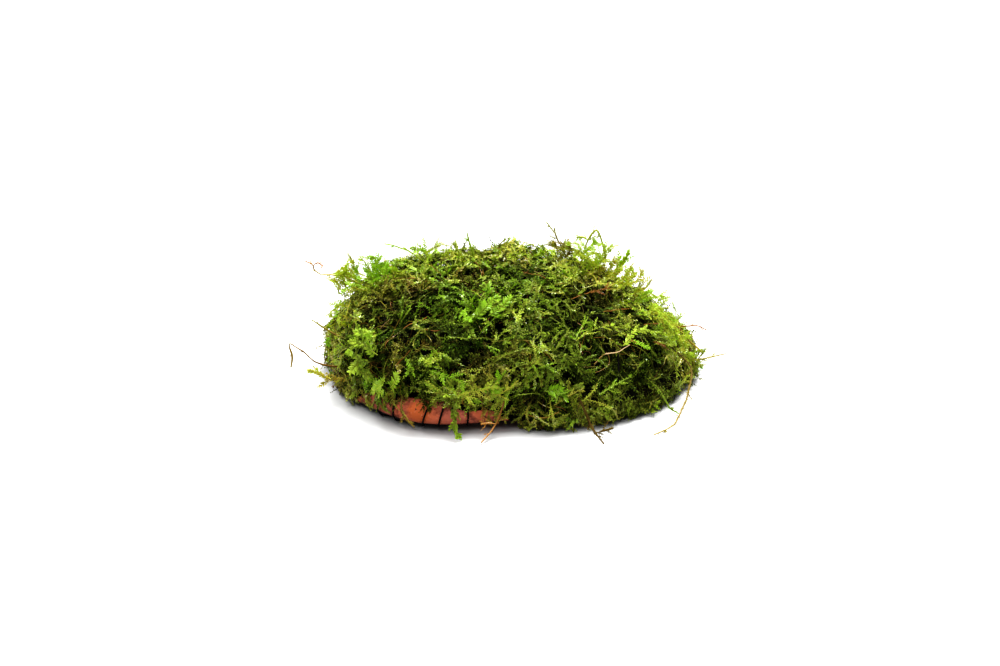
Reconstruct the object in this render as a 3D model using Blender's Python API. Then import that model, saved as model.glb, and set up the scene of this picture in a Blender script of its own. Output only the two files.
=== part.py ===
"""A clump of live moss tied with black thread onto a curved oval shard of terracotta.

The shard is an arched plate that stands on a flat land at each end. The moss mat covers its top
and hangs over its rim, except at the front left, where the bare clay and the thread show. Loose
stems and sprigs grow out of the mat. Axes: X along the clump, -Y its front, +Z up.
"""

import math
import random

import bmesh
import bpy
from mathutils import Vector, noise

MM = 0.001
WELD = 0.00001  # metres; a curve's caps are joined to its sides within this

# Shard of fired clay, in millimetres
SHARD_HALF_LENGTH = 52.0
SHARD_HALF_DEPTH = 45.0
SHARD_SQUARENESS = 2.25  # exponent of the oval outline, 2 being an ellipse
CORNER_ANGLE = math.radians(-118)  # a blunt corner bulges out at the front left
CORNER_HALF_WIDTH = math.radians(31)
CORNER_BULGE = 0.095
SHARD_THICKNESS = 7.5
RIM_ROUNDING = 3.5  # how far in from the outline the rounding starts
ARCH_RISE = 2.6  # height of the underside over the table at its middle
LAND_START = 43.8  # beyond this distance along X the underside is flat on the table
SHARD_RINGS = 14
RIM_SHARE = 6 / SHARD_RINGS  # of the way from equator to pole, the rings that round the rim
INNER_RINGS = 2.2  # exponent that crowds the flat faces' rings towards the rim
SHARD_GAP = 0.3  # clearance between the shard and the mat

# Moss mat, in millimetres
MAT_OVERHANG = 2.4  # how far its mean surface stands out past the shard's outline
MAT_HEIGHT = 35.0
LEFT_SLOPE = 0.0022  # share of the height lost for each millimetre left of the middle
SKIRT_CLEARANCE = 1.2  # height of the hanging edge over the table
BARE_RIM_LIFT = 5.6  # how much higher the edge is where the clay shows
BARE_RIM_ANGLE = math.radians(-121)
BARE_RIM_HALF_ANGLE = math.radians(31)
BARE_RIM_FADE = math.radians(12)
UNDERSIDE_FROM = math.radians(127)  # angle from the starting sphere's top to where the underside starts
UNDERSIDE_RISE = 6  # how steeply the underside climbs from the hanging edge, in heights per reach
TUFT_SPACING = 11.0
TUFT_HEIGHT = 2.6
TUFTS_FADE = math.radians(9)  # the tufts fade out over this much of the sphere above the underside
RIPPLES = ((4.2, 1.5), (16.0, 1.6))  # size and height of the finer and the broader unevenness
MAT_FACES_KEPT = 0.66  # share of the faces that is kept, the flattest places losing theirs first
SPRIG_TIP_SHARE = 0.16  # share of the mat's points drawn out into sprig tips
SPRIG_TIP_LENGTH = (1.5, 4.0)
SPRIG_TIP_LEAN = 0.35

# Dark hollows between the tufts: place on the mat, reach and depth, in millimetres
HOLLOWS = (
    ((-27.0, -26.0, 27.0), 6.5, 4.5),
    ((-11.0, -37.0, 22.0), 7.0, 4.0),
    ((-24.0, -41.0, 12.0), 6.0, 3.5),
    ((16.0, -36.0, 19.0), 6.0, 4.0),
    ((23.0, -22.0, 29.0), 5.5, 4.0),
    ((2.0, -42.0, 12.0), 5.5, 3.5),
    ((38.0, -22.0, 16.0), 6.0, 4.0),
    ((-8.0, 22.0, 33.0), 6.0, 4.0),
    ((26.0, 34.0, 18.0), 7.0, 4.5),
    ((-34.0, 32.0, 17.0), 7.0, 4.5),
    ((3.0, 43.0, 14.0), 6.5, 4.0),
)

# Binding thread, in millimetres
THREAD_RADIUS = 0.2
THREAD_GAP = 0.4  # clearance to the clay
THREAD_DEPTH = 5.0  # how far under the mat's top the turns lie
TUNNEL_RADIUS = 0.8
RIM_TURN = tuple(math.radians(degrees) for degrees in (-90, -54, -18, 18, 50))  # round the rim, upwards
# Each turn: X where it crosses the front rim, its slant there, and X where it crosses the back rim
TURNS = (
    (-37.6, 0.2, -35.0),
    (-33.0, 0.5, -28.0),
    (-24.0, 1.6, -21.0),
    (-19.5, 1.2, -13.0),
    (-12.0, 0.0, -5.0),
    (4.0, 0.6, 8.0),
    (17.0, -0.5, 20.0),
    (31.0, 0.4, 30.0),
)

SOCKET_GAP = 0.4  # clearance round a stem where it grows out of the mat

# Loose stems: colour, then points (x, y, z, radius) in millimetres from the root inside the mat.
# A leafy stretch is as thick as its leaves reach, and a bare stretch as thick as the stem.
STEMS = {
    "stem_left_long": ("brown", (
        (-47.0, -13.0, 9.0, 0.9), (-51.5, -16.0, 9.2, 0.8), (-56.0, -18.5, 11.2, 0.45),
        (-60.2, -20.0, 15.4, 0.35), (-63.9, -20.0, 17.6, 0.35), (-63.2, -20.2, 14.0, 0.6),
        (-63.7, -20.4, 10.4, 0.4),
    )),
    "stem_left_upper": ("brown", (
        (-44.0, 2.0, 28.5, 0.8), (-50.0, 1.0, 31.5, 0.6), (-57.0, 0.0, 32.8, 0.35),
        (-58.3, 0.0, 35.2, 0.4), (-60.4, 0.0, 36.4, 0.3),
    )),
    "stem_left_twig": ("brown", (
        (-47.5, -11.5, 15.5, 0.6), (-52.5, -12.0, 18.5, 0.5), (-58.0, -12.5, 22.4, 0.35),
    )),
    "sprig_left_low": ("green", (
        (-45.0, -23.0, 8.5, 0.9), (-51.5, -24.0, 8.0, 1.0), (-55.0, -24.5, 9.8, 0.9),
        (-58.0, -25.0, 11.4, 0.5),
    )),
    "sprig_top_left": ("green", (
        (-25.0, 9.0, 33.0, 0.9), (-30.5, 7.5, 37.4, 1.1), (-34.0, 6.0, 39.2, 0.8),
        (-37.2, 5.0, 40.2, 0.4),
    )),
    "sprig_top": ("green", (
        (-10.5, 12.0, 33.0, 0.9), (-12.0, 12.0, 37.4, 1.1), (-12.8, 12.0, 41.4, 0.6),
    )),
    "stem_top_hair": ("olive", (
        (17.0, 12.0, 33.5, 0.6), (14.8, 12.0, 38.6, 0.55), (13.0, 12.0, 41.7, 0.4),
        (10.9, 12.0, 44.8, 0.3),
    )),
    "stem_top_arch": ("olive", (
        (21.0, 10.0, 32.0, 0.8), (23.2, 10.0, 39.5, 0.7), (25.8, 10.0, 42.8, 0.6),
        (27.4, 10.0, 39.2, 0.6), (28.6, 9.5, 34.6, 0.8),
    )),
    "sprig_top_right": ("green", (
        (31.0, 12.0, 27.0, 1.0), (33.5, 10.0, 32.6, 1.3), (35.5, 8.5, 36.4, 0.9),
    )),
    "stem_right_tan": ("brown", (
        (44.0, 5.0, 15.0, 0.5), (50.5, 2.0, 15.4, 0.4), (55.5, 0.0, 16.4, 0.35),
        (58.4, 0.0, 15.0, 0.3),
    )),
    "stem_right_brown": ("brown", (
        (43.5, 1.0, 19.5, 0.6), (49.5, -1.5, 16.6, 0.55), (53.3, -4.0, 12.8, 0.5),
        (57.0, -5.0, 9.6, 0.6),
    )),
    "stem_right_hair": ("olive", (
        (47.0, -4.0, 11.0, 0.7), (53.8, -4.6, 7.4, 0.6), (57.4, -5.0, 7.7, 0.35),
        (63.9, -5.0, 9.2, 0.25),
    )),
    "stem_trailing": ("olive", (
        (47.5, -10.0, 13.0, 1.0), (52.5, -17.0, 9.6, 1.0), (52.0, -24.0, 6.6, 0.9),
        (50.3, -31.0, 4.4, 0.6), (48.2, -37.0, 1.9, 0.55), (45.6, -42.5, 0.75, 0.5),
        (40.1, -48.8, 0.6, 0.45),
    )),
    "sprig_right_curl": ("green", (
        (36.0, -26.0, 11.8, 0.7), (42.2, -31.4, 8.2, 0.7), (45.0, -34.0, 3.8, 0.7),
        (48.2, -33.0, 0.9, 0.5),
    )),
    "twig_front": ("brown", (
        (16.8, -37.5, 12.5, 0.8), (20.2, -46.2, 8.0, 0.8), (22.8, -50.0, 3.0, 0.8),
        (25.8, -56.0, 0.8, 0.6),
    )),
    "root_front": ("brown", (
        (-1.0, -38.5, 13.0, 0.6), (-2.4, -47.2, 8.6, 0.55), (-4.6, -50.0, 3.4, 0.5),
        (-8.2, -54.8, 0.7, 0.4),
    )),
    "frond_front": ("green", (
        (-15.4, -39.5, 13.6, 0.9), (-15.8, -49.0, 9.4, 1.1), (-15.6, -51.4, 4.6, 1.4),
        (-15.0, -53.0, 1.3, 0.8),
    )),
    "sprig_rim": ("olive", (
        (-29.4, -37.0, 13.0, 0.6), (-30.6, -46.4, 8.0, 0.6), (-29.6, -48.2, 4.4, 0.6),
        (-27.4, -49.4, 1.2, 0.5),
    )),
    "stem_back_left": ("brown", (
        (-36.0, 30.0, 15.0, 0.9), (-43.0, 37.0, 14.5, 0.7), (-48.5, 42.0, 16.5, 0.4),
        (-51.5, 45.5, 14.5, 0.4),
    )),
    "stem_back_right": ("olive", (
        (28.0, 37.0, 13.0, 0.9), (33.0, 45.0, 9.0, 0.8), (34.0, 50.5, 3.6, 0.6),
        (31.0, 55.5, 0.8, 0.5),
    )),
    "sprig_back_low": ("green", (
        (-9.0, 39.0, 12.5, 0.9), (-10.0, 47.4, 9.0, 1.0), (-12.8, 51.6, 3.4, 0.9),
        (-17.0, 54.6, 1.0, 0.6),
    )),
}

# Side shoots fused to the stem that carries them
FORKS = {
    "stem_left_upper": (
        (-58.2, 0.0, 34.9, 0.4), (-56.6, -0.3, 35.9, 0.4), (-55.0, -0.6, 35.0, 0.3),
    ),
    "twig_front": (
        (23.2, -50.6, 1.5, 0.7), (26.0, -50.8, 2.6, 0.6), (28.6, -50.4, 3.2, 0.5),
    ),
    "stem_top_arch": (
        (23.4, 10.0, 39.8, 0.7), (21.6, 9.4, 41.0, 0.8), (19.8, 9.0, 41.0, 0.5),
    ),
}


COLOURS = {
    "clay": (0.60, 0.20, 0.10),
    "moss": (0.13, 0.24, 0.03),
    "thread": (0.02, 0.02, 0.02),
    "green": (0.24, 0.42, 0.05),
    "olive": (0.33, 0.34, 0.08),
    "brown": (0.30, 0.15, 0.06),
}
ROUGHNESS = {"clay": 0.75, "moss": 0.6, "thread": 0.6, "green": 0.5, "olive": 0.5, "brown": 0.55}


def clear_scene():
    for obj in list(bpy.data.objects):
        bpy.data.objects.remove(obj)


def new_collection(name):
    collection = bpy.data.collections.new(name)
    bpy.context.scene.collection.children.link(collection)
    return collection


def make_material(name):
    material = bpy.data.materials.new(name)
    material.use_nodes = True
    shader = material.node_tree.nodes["Principled BSDF"]
    shader.inputs["Base Color"].default_value = (*COLOURS[name], 1.0)
    shader.inputs["Roughness"].default_value = ROUGHNESS[name]
    shader.inputs["Metallic"].default_value = 0.0
    return material


def angle_between(first, second):
    """Size of the turn between two directions."""
    return abs((first - second + math.pi) % (2 * math.pi) - math.pi)


def oval_reach(angle):
    """Distance from the centre to the plain superellipse in this direction."""
    along = abs(math.cos(angle) / SHARD_HALF_LENGTH) ** SHARD_SQUARENESS
    across = abs(math.sin(angle) / SHARD_HALF_DEPTH) ** SHARD_SQUARENESS
    return (along + across) ** (-1 / SHARD_SQUARENESS)


def shard_reach(angle):
    """The shard's outline: the oval with its blunt corner and a slightly uneven edge."""
    uneven = 1 + 0.009 * math.sin(3 * angle + 0.6) + 0.005 * math.sin(7 * angle + 2.0)
    away = min(1.0, angle_between(angle, CORNER_ANGLE) / CORNER_HALF_WIDTH)
    corner = 1 + CORNER_BULGE * math.cos(away * math.pi / 2) ** 2
    return oval_reach(angle) * uneven * corner


def arch_height(x):
    """Height of the shard's underside over the table at this distance along X."""
    return ARCH_RISE * max(0.0, 1 - (x / LAND_START) ** 2)


def mesh_object(name, lay_out, collection):
    """An object whose mesh the given function makes."""
    mesh = bpy.data.meshes.new(name)
    obj = bpy.data.objects.new(name, mesh)
    collection.objects.link(obj)
    shape = bmesh.new()
    lay_out(shape)
    bmesh.ops.scale(shape, vec=(MM, MM, MM), verts=shape.verts)
    shape.to_mesh(mesh)
    shape.free()
    return obj


def shade_soft(obj):
    obj.data.shade_smooth()
    obj.data.set_sharp_from_angle(angle=math.radians(50))


def plate_section(latitude, outline, grow):
    """Reach and height of one ring of the plate, from latitude -1 under its middle to 1 on top.
    The rings on either side of the equator make the rim's rounding, the others the flat faces."""
    half_thickness = SHARD_THICKNESS / 2 + grow
    flat_edge = outline + grow - RIM_ROUNDING
    steepness = abs(latitude)
    if steepness <= RIM_SHARE + 0.001:
        turn = latitude / RIM_SHARE * math.pi / 2
        return flat_edge + RIM_ROUNDING * math.cos(turn), half_thickness * math.sin(turn)
    inward = min(1.0, (steepness - RIM_SHARE) / (1 - RIM_SHARE))
    return flat_edge * (1 - inward**INNER_RINGS), math.copysign(half_thickness, latitude)


def make_shard(name, collection, grow=0.0):
    """An arched oval plate with a rounded rim, laid out from a sphere's rings. grow makes it
    larger all round, for cutting the mat."""

    def lay_out(shape):
        bmesh.ops.create_uvsphere(shape, u_segments=36, v_segments=SHARD_RINGS, radius=1.0)
        for vert in shape.verts:
            angle = math.atan2(vert.co.y, vert.co.x)
            latitude = 1 - vert.co.angle(Vector((0, 0, 1))) / (math.pi / 2)
            reach, height = plate_section(latitude, shard_reach(angle), grow)
            x = reach * math.cos(angle)
            z = height + SHARD_THICKNESS / 2 + arch_height(x)
            vert.co = Vector((x, reach * math.sin(angle), z))

    shard = mesh_object(name, lay_out, collection)
    shade_soft(shard)
    return shard


def mat_bulge(angle):
    """Exponent of the mat's profile: a full shoulder at the left, a long slope at the right."""
    return 2.65 - 0.8 * math.cos(angle)


def bare_rim(angle):
    """1 where the clay rim shows, falling smoothly to 0 beside it."""
    away = angle_between(angle, BARE_RIM_ANGLE)
    share = max(0.0, min(1.0, (BARE_RIM_HALF_ANGLE - away) / BARE_RIM_FADE + 0.5))
    return share * share * (3 - 2 * share)


def mat_reach(angle):
    """The mat's outline at its widest: past the shard's, but nearly flush over the bare rim."""
    waves = 0.7 * math.sin(5 * angle + 1.0) + 0.5 * math.sin(9 * angle)
    return shard_reach(angle) + MAT_OVERHANG * (1 - 0.8 * bare_rim(angle)) + waves


def mat_top(x, y):
    """Height of the mat's mean surface over a point inside its outline."""
    angle = math.atan2(y, x)
    out = min(1.0, math.hypot(x, y) / mat_reach(angle))
    bulge = mat_bulge(angle)
    return MAT_HEIGHT * (1 - out**bulge) ** (1 / bulge)


def mat_point(direction):
    """A point of the mean surface for a direction from the centre of the starting sphere. The
    sphere's lowest cap becomes the underside, which runs up into the shard."""
    angle = math.atan2(direction.y, direction.x)
    from_top = direction.angle(Vector((0, 0, 1)))
    edge = SKIRT_CLEARANCE + BARE_RIM_LIFT * bare_rim(angle)
    if from_top > UNDERSIDE_FROM:
        out = (math.pi - from_top) / (math.pi - UNDERSIDE_FROM)
        inside_shard = SHARD_THICKNESS / 2 + ARCH_RISE
        height = edge + (inside_shard - edge) * min(1.0, UNDERSIDE_RISE * (1 - out))
    else:
        rise = (1 - from_top / UNDERSIDE_FROM) * math.pi / 2
        power = 2 / mat_bulge(angle)
        out = math.cos(rise) ** power
        height = edge + (MAT_HEIGHT - edge) * math.sin(rise) ** power
    reach = out * mat_reach(angle)
    x = reach * math.cos(angle)
    slope = 1 + LEFT_SLOPE * min(0.0, x)
    return Vector((x, reach * math.sin(angle), height * slope))


def tuft_relief(point):
    """How far the tufts stand out at a point of the mean surface, in millimetres."""
    to_nearest_tuft = noise.voronoi(point / TUFT_SPACING)[0][0]
    relief = TUFT_HEIGHT * (0.45 - to_nearest_tuft)
    relief += sum(height * noise.noise(point / size) for size, height in RIPPLES)
    for place, reach, depth in HOLLOWS:
        away = (point - Vector(place)).length / reach
        relief -= depth * max(0.0, 1 - away**2)
    return relief


def sprig_tip(normal, draw):
    """How far a point of the mat is drawn out into a sprig's tip: not at all, for most."""
    is_tip = draw.random() < SPRIG_TIP_SHARE
    length = draw.uniform(*SPRIG_TIP_LENGTH)
    lean = Vector([draw.uniform(-1, 1) for _ in range(3)])
    return (normal + SPRIG_TIP_LEAN * lean) * length * is_tip


def make_mat(name, collection):
    """The mat: a fine sphere drawn onto the mean surface, with tufts, hollows and sprig tips."""
    draw = random.Random(11)

    def lay_out(shape):
        bmesh.ops.create_icosphere(shape, subdivisions=5, radius=1.0)
        from_top = [vert.co.angle(Vector((0, 0, 1))) for vert in shape.verts]
        for vert in shape.verts:
            vert.co = mat_point(vert.co)
        shape.normal_update()
        normals = [vert.normal.copy() for vert in shape.verts]
        for vert, normal, angle in zip(shape.verts, normals, from_top):
            tufted = max(0.0, min(1.0, (UNDERSIDE_FROM - angle) / TUFTS_FADE))
            tip = sprig_tip(normal, draw)
            vert.co += tufted * (normal * tuft_relief(vert.co) + tip)
            vert.co.z = max(vert.co.z, SKIRT_CLEARANCE / 2)

    mat = mesh_object(name, lay_out, collection)
    thinned = mat.modifiers.new("fewer_faces", "DECIMATE")
    thinned.ratio = MAT_FACES_KEPT
    return mat


def smooth_route(points):
    """A Catmull-Rom curve through hand-placed points, with a point halfway between each two."""
    points = [Vector(point) for point in points]
    padded = [2 * points[0] - points[1], *points, 2 * points[-1] - points[-2]]
    route = []
    for before, start, end, after in zip(padded, padded[1:], padded[2:], padded[3:]):
        halfway = (9 * (start + end) - before - after) / 16
        route += [start, halfway]
    return [*route, points[-1]]


def make_tube(name, route, collection, bevel_resolution=1, grow=0.0):
    """A tube along (x, y, z, radius) points in millimetres, as a closed mesh."""
    curve = bpy.data.curves.new(name + "_line", "CURVE")
    curve.dimensions = "3D"
    curve.bevel_depth = MM
    curve.bevel_resolution = bevel_resolution
    curve.use_fill_caps = True
    line = curve.splines.new("POLY")
    line.points.add(len(route) - 1)
    for point, (x, y, z, radius) in zip(line.points, route):
        point.co = (x * MM, y * MM, z * MM, 1.0)
        point.radius = radius + grow
    guide = bpy.data.objects.new(name + "_line", curve)
    collection.objects.link(guide)
    evaluated = guide.evaluated_get(bpy.context.evaluated_depsgraph_get())
    mesh = bpy.data.meshes.new_from_object(evaluated)
    bpy.data.objects.remove(guide)
    shape = bmesh.new()
    shape.from_mesh(mesh)
    bmesh.ops.remove_doubles(shape, verts=shape.verts, dist=WELD)
    shape.to_mesh(mesh)
    shape.free()
    tube = bpy.data.objects.new(name, mesh)
    collection.objects.link(tube)
    shade_soft(tube)
    return tube


def rim_angle(x, side):
    """Direction of the point of the shard's outline at this X, side being -1 front or 1 back."""
    low, high = 0.0, math.pi
    for _ in range(40):
        middle = (low + high) / 2
        if shard_reach(side * middle) * math.cos(middle) > x:
            low = middle
        else:
            high = middle
    return side * low


def outline_point(angle):
    return Vector((math.cos(angle), math.sin(angle), 0.0)) * shard_reach(angle)


def round_the_rim(x, side, slant):
    """Thread points hugging the rounded rim where the thread crosses it, from below upwards."""
    angle = rim_angle(x, side)
    tangent = (outline_point(angle + 0.01) - outline_point(angle - 0.01)).normalized()
    outward = Vector((tangent.y, -tangent.x, 0.0))
    off = THREAD_GAP + THREAD_RADIUS
    route = []
    for turn in RIM_TURN:
        reach = (RIM_ROUNDING + off) * math.cos(turn) - RIM_ROUNDING
        place = outline_point(angle) + outward * reach + tangent * slant * math.sin(turn)
        place.z = SHARD_THICKNESS / 2 + (SHARD_THICKNESS / 2 + off) * math.sin(turn)
        place.z += arch_height(place.x)
        route.append(place)
    return route


def over_the_shard(start, end):
    """Thread points of one turn over the shard, a flattened arch under the mat's top."""
    middle = (start + end) / 2
    top = mat_top(middle.x, middle.y) - THREAD_DEPTH
    route = []
    for step in (1, 2, 3, 4):
        turn = step / 5 * math.pi
        across = 0.5 - 0.5 * math.copysign(abs(math.cos(turn)) ** 0.8, math.cos(turn))
        place = start.lerp(end, 0.02 + 0.96 * across)
        place.z = middle.z + (top - middle.z) * math.sin(turn) ** 0.7
        route.append(place)
    return route


def under_the_shard(start, end):
    """Thread points of the run back to the front, along the arched underside."""
    route = [start.lerp(end, share) for share in (0.25, 0.5, 0.75)]
    for place in route:
        place.z = arch_height(place.x) - THREAD_GAP - THREAD_RADIUS
    return route


def thread_route():
    """The whole winding: over the moss from front to back, then back under the shard."""
    route = []
    for front_x, slant, back_x in TURNS:
        front = round_the_rim(front_x, -1, slant)
        back = round_the_rim(back_x, 1, 0.0)[::-1]
        if route:
            route += under_the_shard(route[-1], front[0])
        route += [*front, *over_the_shard(front[-1], back[0]), *back]
    return [(*place, THREAD_RADIUS) for place in route]


def add_boolean(obj, operation, cutter):
    boolean = obj.modifiers.new(cutter.name, "BOOLEAN")
    boolean.operation = operation
    boolean.object = cutter
    cutter.hide_render = True
    cutter.display_type = "WIRE"


def main():
    clear_scene()
    clump = new_collection("moss_clump")
    cutters = new_collection("cutters")
    materials = {name: make_material(name) for name in COLOURS}

    shard = make_shard("terracotta_shard", clump)
    shard.data.materials.append(materials["clay"])

    mat = make_mat("moss_mat", clump)
    mat.data.materials.append(materials["moss"])
    add_boolean(mat, "DIFFERENCE", make_shard("shard_space", cutters, grow=SHARD_GAP))

    winding = thread_route()
    thread = make_tube("binding_thread", winding, clump, bevel_resolution=0)
    thread.data.materials.append(materials["thread"])
    tunnel = make_tube("thread_space", winding, cutters, 0, grow=TUNNEL_RADIUS - THREAD_RADIUS)
    add_boolean(mat, "DIFFERENCE", tunnel)

    for name, (colour, points) in STEMS.items():
        route = smooth_route(points)
        stem = make_tube(name, route, clump)
        stem.data.materials.append(materials[colour])
        socket = make_tube(name + "_space", route, cutters, grow=SOCKET_GAP)
        add_boolean(mat, "DIFFERENCE", socket)
        if name in FORKS:
            fork = make_tube(name + "_fork", smooth_route(FORKS[name]), cutters)
            add_boolean(stem, "UNION", fork)


main()
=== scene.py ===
import math

import bpy
import numpy as np
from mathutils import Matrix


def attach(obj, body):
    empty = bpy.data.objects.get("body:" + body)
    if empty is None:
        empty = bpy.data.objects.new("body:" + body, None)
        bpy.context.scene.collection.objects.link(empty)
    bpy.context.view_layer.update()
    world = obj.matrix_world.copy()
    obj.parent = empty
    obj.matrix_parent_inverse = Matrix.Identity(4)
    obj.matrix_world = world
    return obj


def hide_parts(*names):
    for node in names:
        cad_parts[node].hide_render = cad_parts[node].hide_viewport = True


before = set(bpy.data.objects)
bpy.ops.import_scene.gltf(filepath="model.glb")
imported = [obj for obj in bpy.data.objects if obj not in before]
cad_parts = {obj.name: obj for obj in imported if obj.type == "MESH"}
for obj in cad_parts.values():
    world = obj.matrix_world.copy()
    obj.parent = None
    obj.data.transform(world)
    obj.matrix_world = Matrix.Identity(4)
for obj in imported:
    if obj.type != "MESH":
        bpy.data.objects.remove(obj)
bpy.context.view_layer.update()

millimetre = 0.001  # every shape is worked out in millimetres and made in metres
fullTurn = 2 * math.pi
tableGap = 0.12  # no leaf comes lower over the table than this
view = {  # where the photograph was taken from; the nearest distance drawn is in metres
    "target": (-3.0, 4.3, 12.5), "distance": 708, "elevation": 19, "lens": 85, "film": 36, "nearest": 0.01,
}
# large odd numbers that scatter the values of a noise's lattice corners
hashing = {"corner": (374761393, 668265263, 1440662683), "mix": 1274126177}


# small helpers for arrays of points and directions

def unit(vectors):
    # each vector divided by its own length
    return vectors / np.maximum(np.linalg.norm(vectors, axis=-1, keepdims=True), 1e-9)


def ease(share):
    # 0 up to 0, 1 from 1 on, and 3s^2 - 2s^3 between
    share = np.clip(share, 0, 1)
    return share * share * (3 - 2 * share)


def lumps(points, size, seed):
    # value noise from -1 to 1: a hashed number on each corner of a lattice of this size,
    # blended between the eight corners round a point by the eased place in its cell
    cells = np.floor(points / size)
    inside = ease(points / size - cells)
    cells = cells.astype(np.int64)
    total = np.zeros(points.shape[:-1])
    for corner in np.ndindex(2, 2, 2):
        key = (cells + corner) @ np.array(hashing["corner"]) + seed * hashing["mix"]
        key = (key ^ (key >> 13)) * hashing["mix"] & 0xFFFFFFFF
        value = ((key ^ (key >> 16)) & 0xFFFF) / 32767.5 - 1
        total += value * np.prod(np.where(corner, inside, 1 - inside), axis=-1)
    return total


def mixed(points, size, seed):
    # three unlike lumps as the three parts of a vector
    return np.stack([lumps(points, size, seed + step) for step in range(3)], axis=-1)


def wayTo(rise, angle):
    # the direction with this rise over the table's plane and this angle round the upright
    return np.stack(np.broadcast_arrays(
        np.cos(rise) * np.cos(angle), np.cos(rise) * np.sin(angle), np.sin(rise)), axis=-1)


def bell(points, place, reach):
    # 1 at the place, falling off as e^-(distance/reach)^2
    return np.exp(-(np.linalg.norm(points - place, axis=-1) / reach) ** 2)


def alongSurface(aims, normals):
    # each aim less its part along the normal, at length 1
    return unit(aims - normals * (aims * normals).sum(1)[:, None])


def rolled(facing, path, roll):
    # the flat sides turned by the roll about the way that the path runs
    along = unit(np.gradient(path, axis=1))
    return unit(facing * np.cos(roll) + np.cross(facing, along) * np.sin(roll))


def pathLength(path):
    # the sum of its steps
    return np.linalg.norm(np.diff(path, axis=0), axis=1).sum()


# meshes

paletteStep = 0.006  # the corners round a stem read palette places this far from its own


def putMesh(name, part, finish, standsFor=(), soft=False):
    # part is (points, list of face arrays, one palette place per point or None); the faces are laid
    # end to end as one row of corners, and the palette places go by corner
    points, faceSets, places = part
    corners = np.concatenate([faces.ravel() for faces in faceSets]).astype(np.int32)
    sizes = np.concatenate([np.full(len(faces), faces.shape[1]) for faces in faceSets])
    mesh = bpy.data.meshes.new(name)
    mesh.vertices.add(len(points))
    mesh.vertices.foreach_set("co", (points * millimetre).astype(np.float32).ravel())
    mesh.loops.add(len(corners))
    mesh.loops.foreach_set("vertex_index", corners)
    mesh.polygons.add(len(sizes))
    mesh.polygons.foreach_set("loop_start", (np.cumsum(sizes) - sizes).astype(np.int32))
    mesh.update(calc_edges=True)
    mesh.polygons.foreach_set("use_smooth", np.full(len(sizes), soft))
    if places is not None:
        palette = mesh.uv_layers.new(name="OFBake")
        palette.uv.foreach_set("vector", places[corners].astype(np.float32).ravel())
    mesh.materials.append(finish)
    piece = bpy.data.objects.new(name, mesh)
    bpy.context.scene.collection.objects.link(piece)
    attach(piece, "root")
    if standsFor:
        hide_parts(*standsFor)
    print(f"{name}: {int((sizes - 2).sum())} triangles")
    return piece


def together(parts):
    # several parts as one, each one's corner numbers moved past those before it
    points, places, faceSets, before = [], [], [], 0
    for partPoints, partFaces, partPlaces in parts:
        points.append(partPoints)
        places.append(partPlaces)
        faceSets += [faces + before for faces in partFaces]
        before += len(partPoints)
    return np.concatenate(points), faceSets, np.concatenate(places)


def aboveTable(part):
    # corners that hang lower are lifted to the gap over the table
    part[0][:, 2] = np.maximum(part[0][:, 2], tableGap)
    return part


def closedSkin(rows, firstPole, lastPole):
    # rings of points (ring, place round it, 3) joined by quads, with a fan at each pole
    ringCount, around = rows.shape[:2]
    index = np.arange(ringCount * around).reshape(ringCount, around)
    onward = np.roll(index, -1, axis=1)
    quads = np.stack([index[:-1], onward[:-1], onward[1:], index[1:]], axis=-1).reshape(-1, 4)
    first, last = index.size, index.size + 1
    startFan = np.stack([np.full(around, first), onward[0], index[0]], axis=-1)
    endFan = np.stack([np.full(around, last), index[-1], onward[-1]], axis=-1)
    points = np.concatenate([rows.reshape(-1, 3), [firstPole, lastPole]])
    return points, [quads, startFan, endFan], None


def tubes(path, facing, tone, age, radius, sides):
    # round each point of each path (path, step, 3) a ring of corners square to the way it runs,
    # neighbouring rings joined by quads and the two end rings closed
    along = unit(np.gradient(path, axis=1))
    across = unit(np.cross(facing, along))
    outward = np.cross(along, across)
    turn = np.arange(sides) * fullTurn / sides
    ring = across[:, :, None] * np.cos(turn)[:, None] + outward[:, :, None] * np.sin(turn)[:, None]
    points = path[:, :, None] + ring * radius[:, :, None, None]
    index = np.arange(points[..., 0].size).reshape(points.shape[:3])
    onward = np.roll(index, -1, axis=2)
    quads = np.stack([index[:, :-1], onward[:, :-1], onward[:, 1:], index[:, 1:]], axis=-1)
    ends = np.concatenate([index[:, 0, ::-1], index[:, -1]])
    places = np.stack([
        tone[..., None] + paletteStep * np.cos(turn),
        age[..., None] + paletteStep * np.sin(turn)], axis=-1)
    return points.reshape(-1, 3), [quads.reshape(-1, 4), ends], places.reshape(-1, 2)


# shader maths

class Wire:
    # an output of a node; sums, differences and products of wires add Math nodes
    def __init__(self, tree, socket):
        self.tree, self.socket = tree, socket

    def math(self, operation, first, second):
        # a Math node on two wires, or on a wire and a number
        made = self.tree.nodes.new("ShaderNodeMath")
        made.operation = operation
        for socket, value in zip(made.inputs, (first, second)):
            if isinstance(value, Wire):
                self.tree.links.new(value.socket, socket)
            else:
                socket.default_value = value
        return Wire(self.tree, made.outputs[0])

    def __add__(self, other):
        return self.math("ADD", self, other)

    def __sub__(self, other):
        return self.math("SUBTRACT", self, other)

    def __mul__(self, other):
        return self.math("MULTIPLY", self, other)

    def __rsub__(self, other):
        return self.math("SUBTRACT", other, self)

    __radd__ = __add__
    __rmul__ = __mul__


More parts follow.
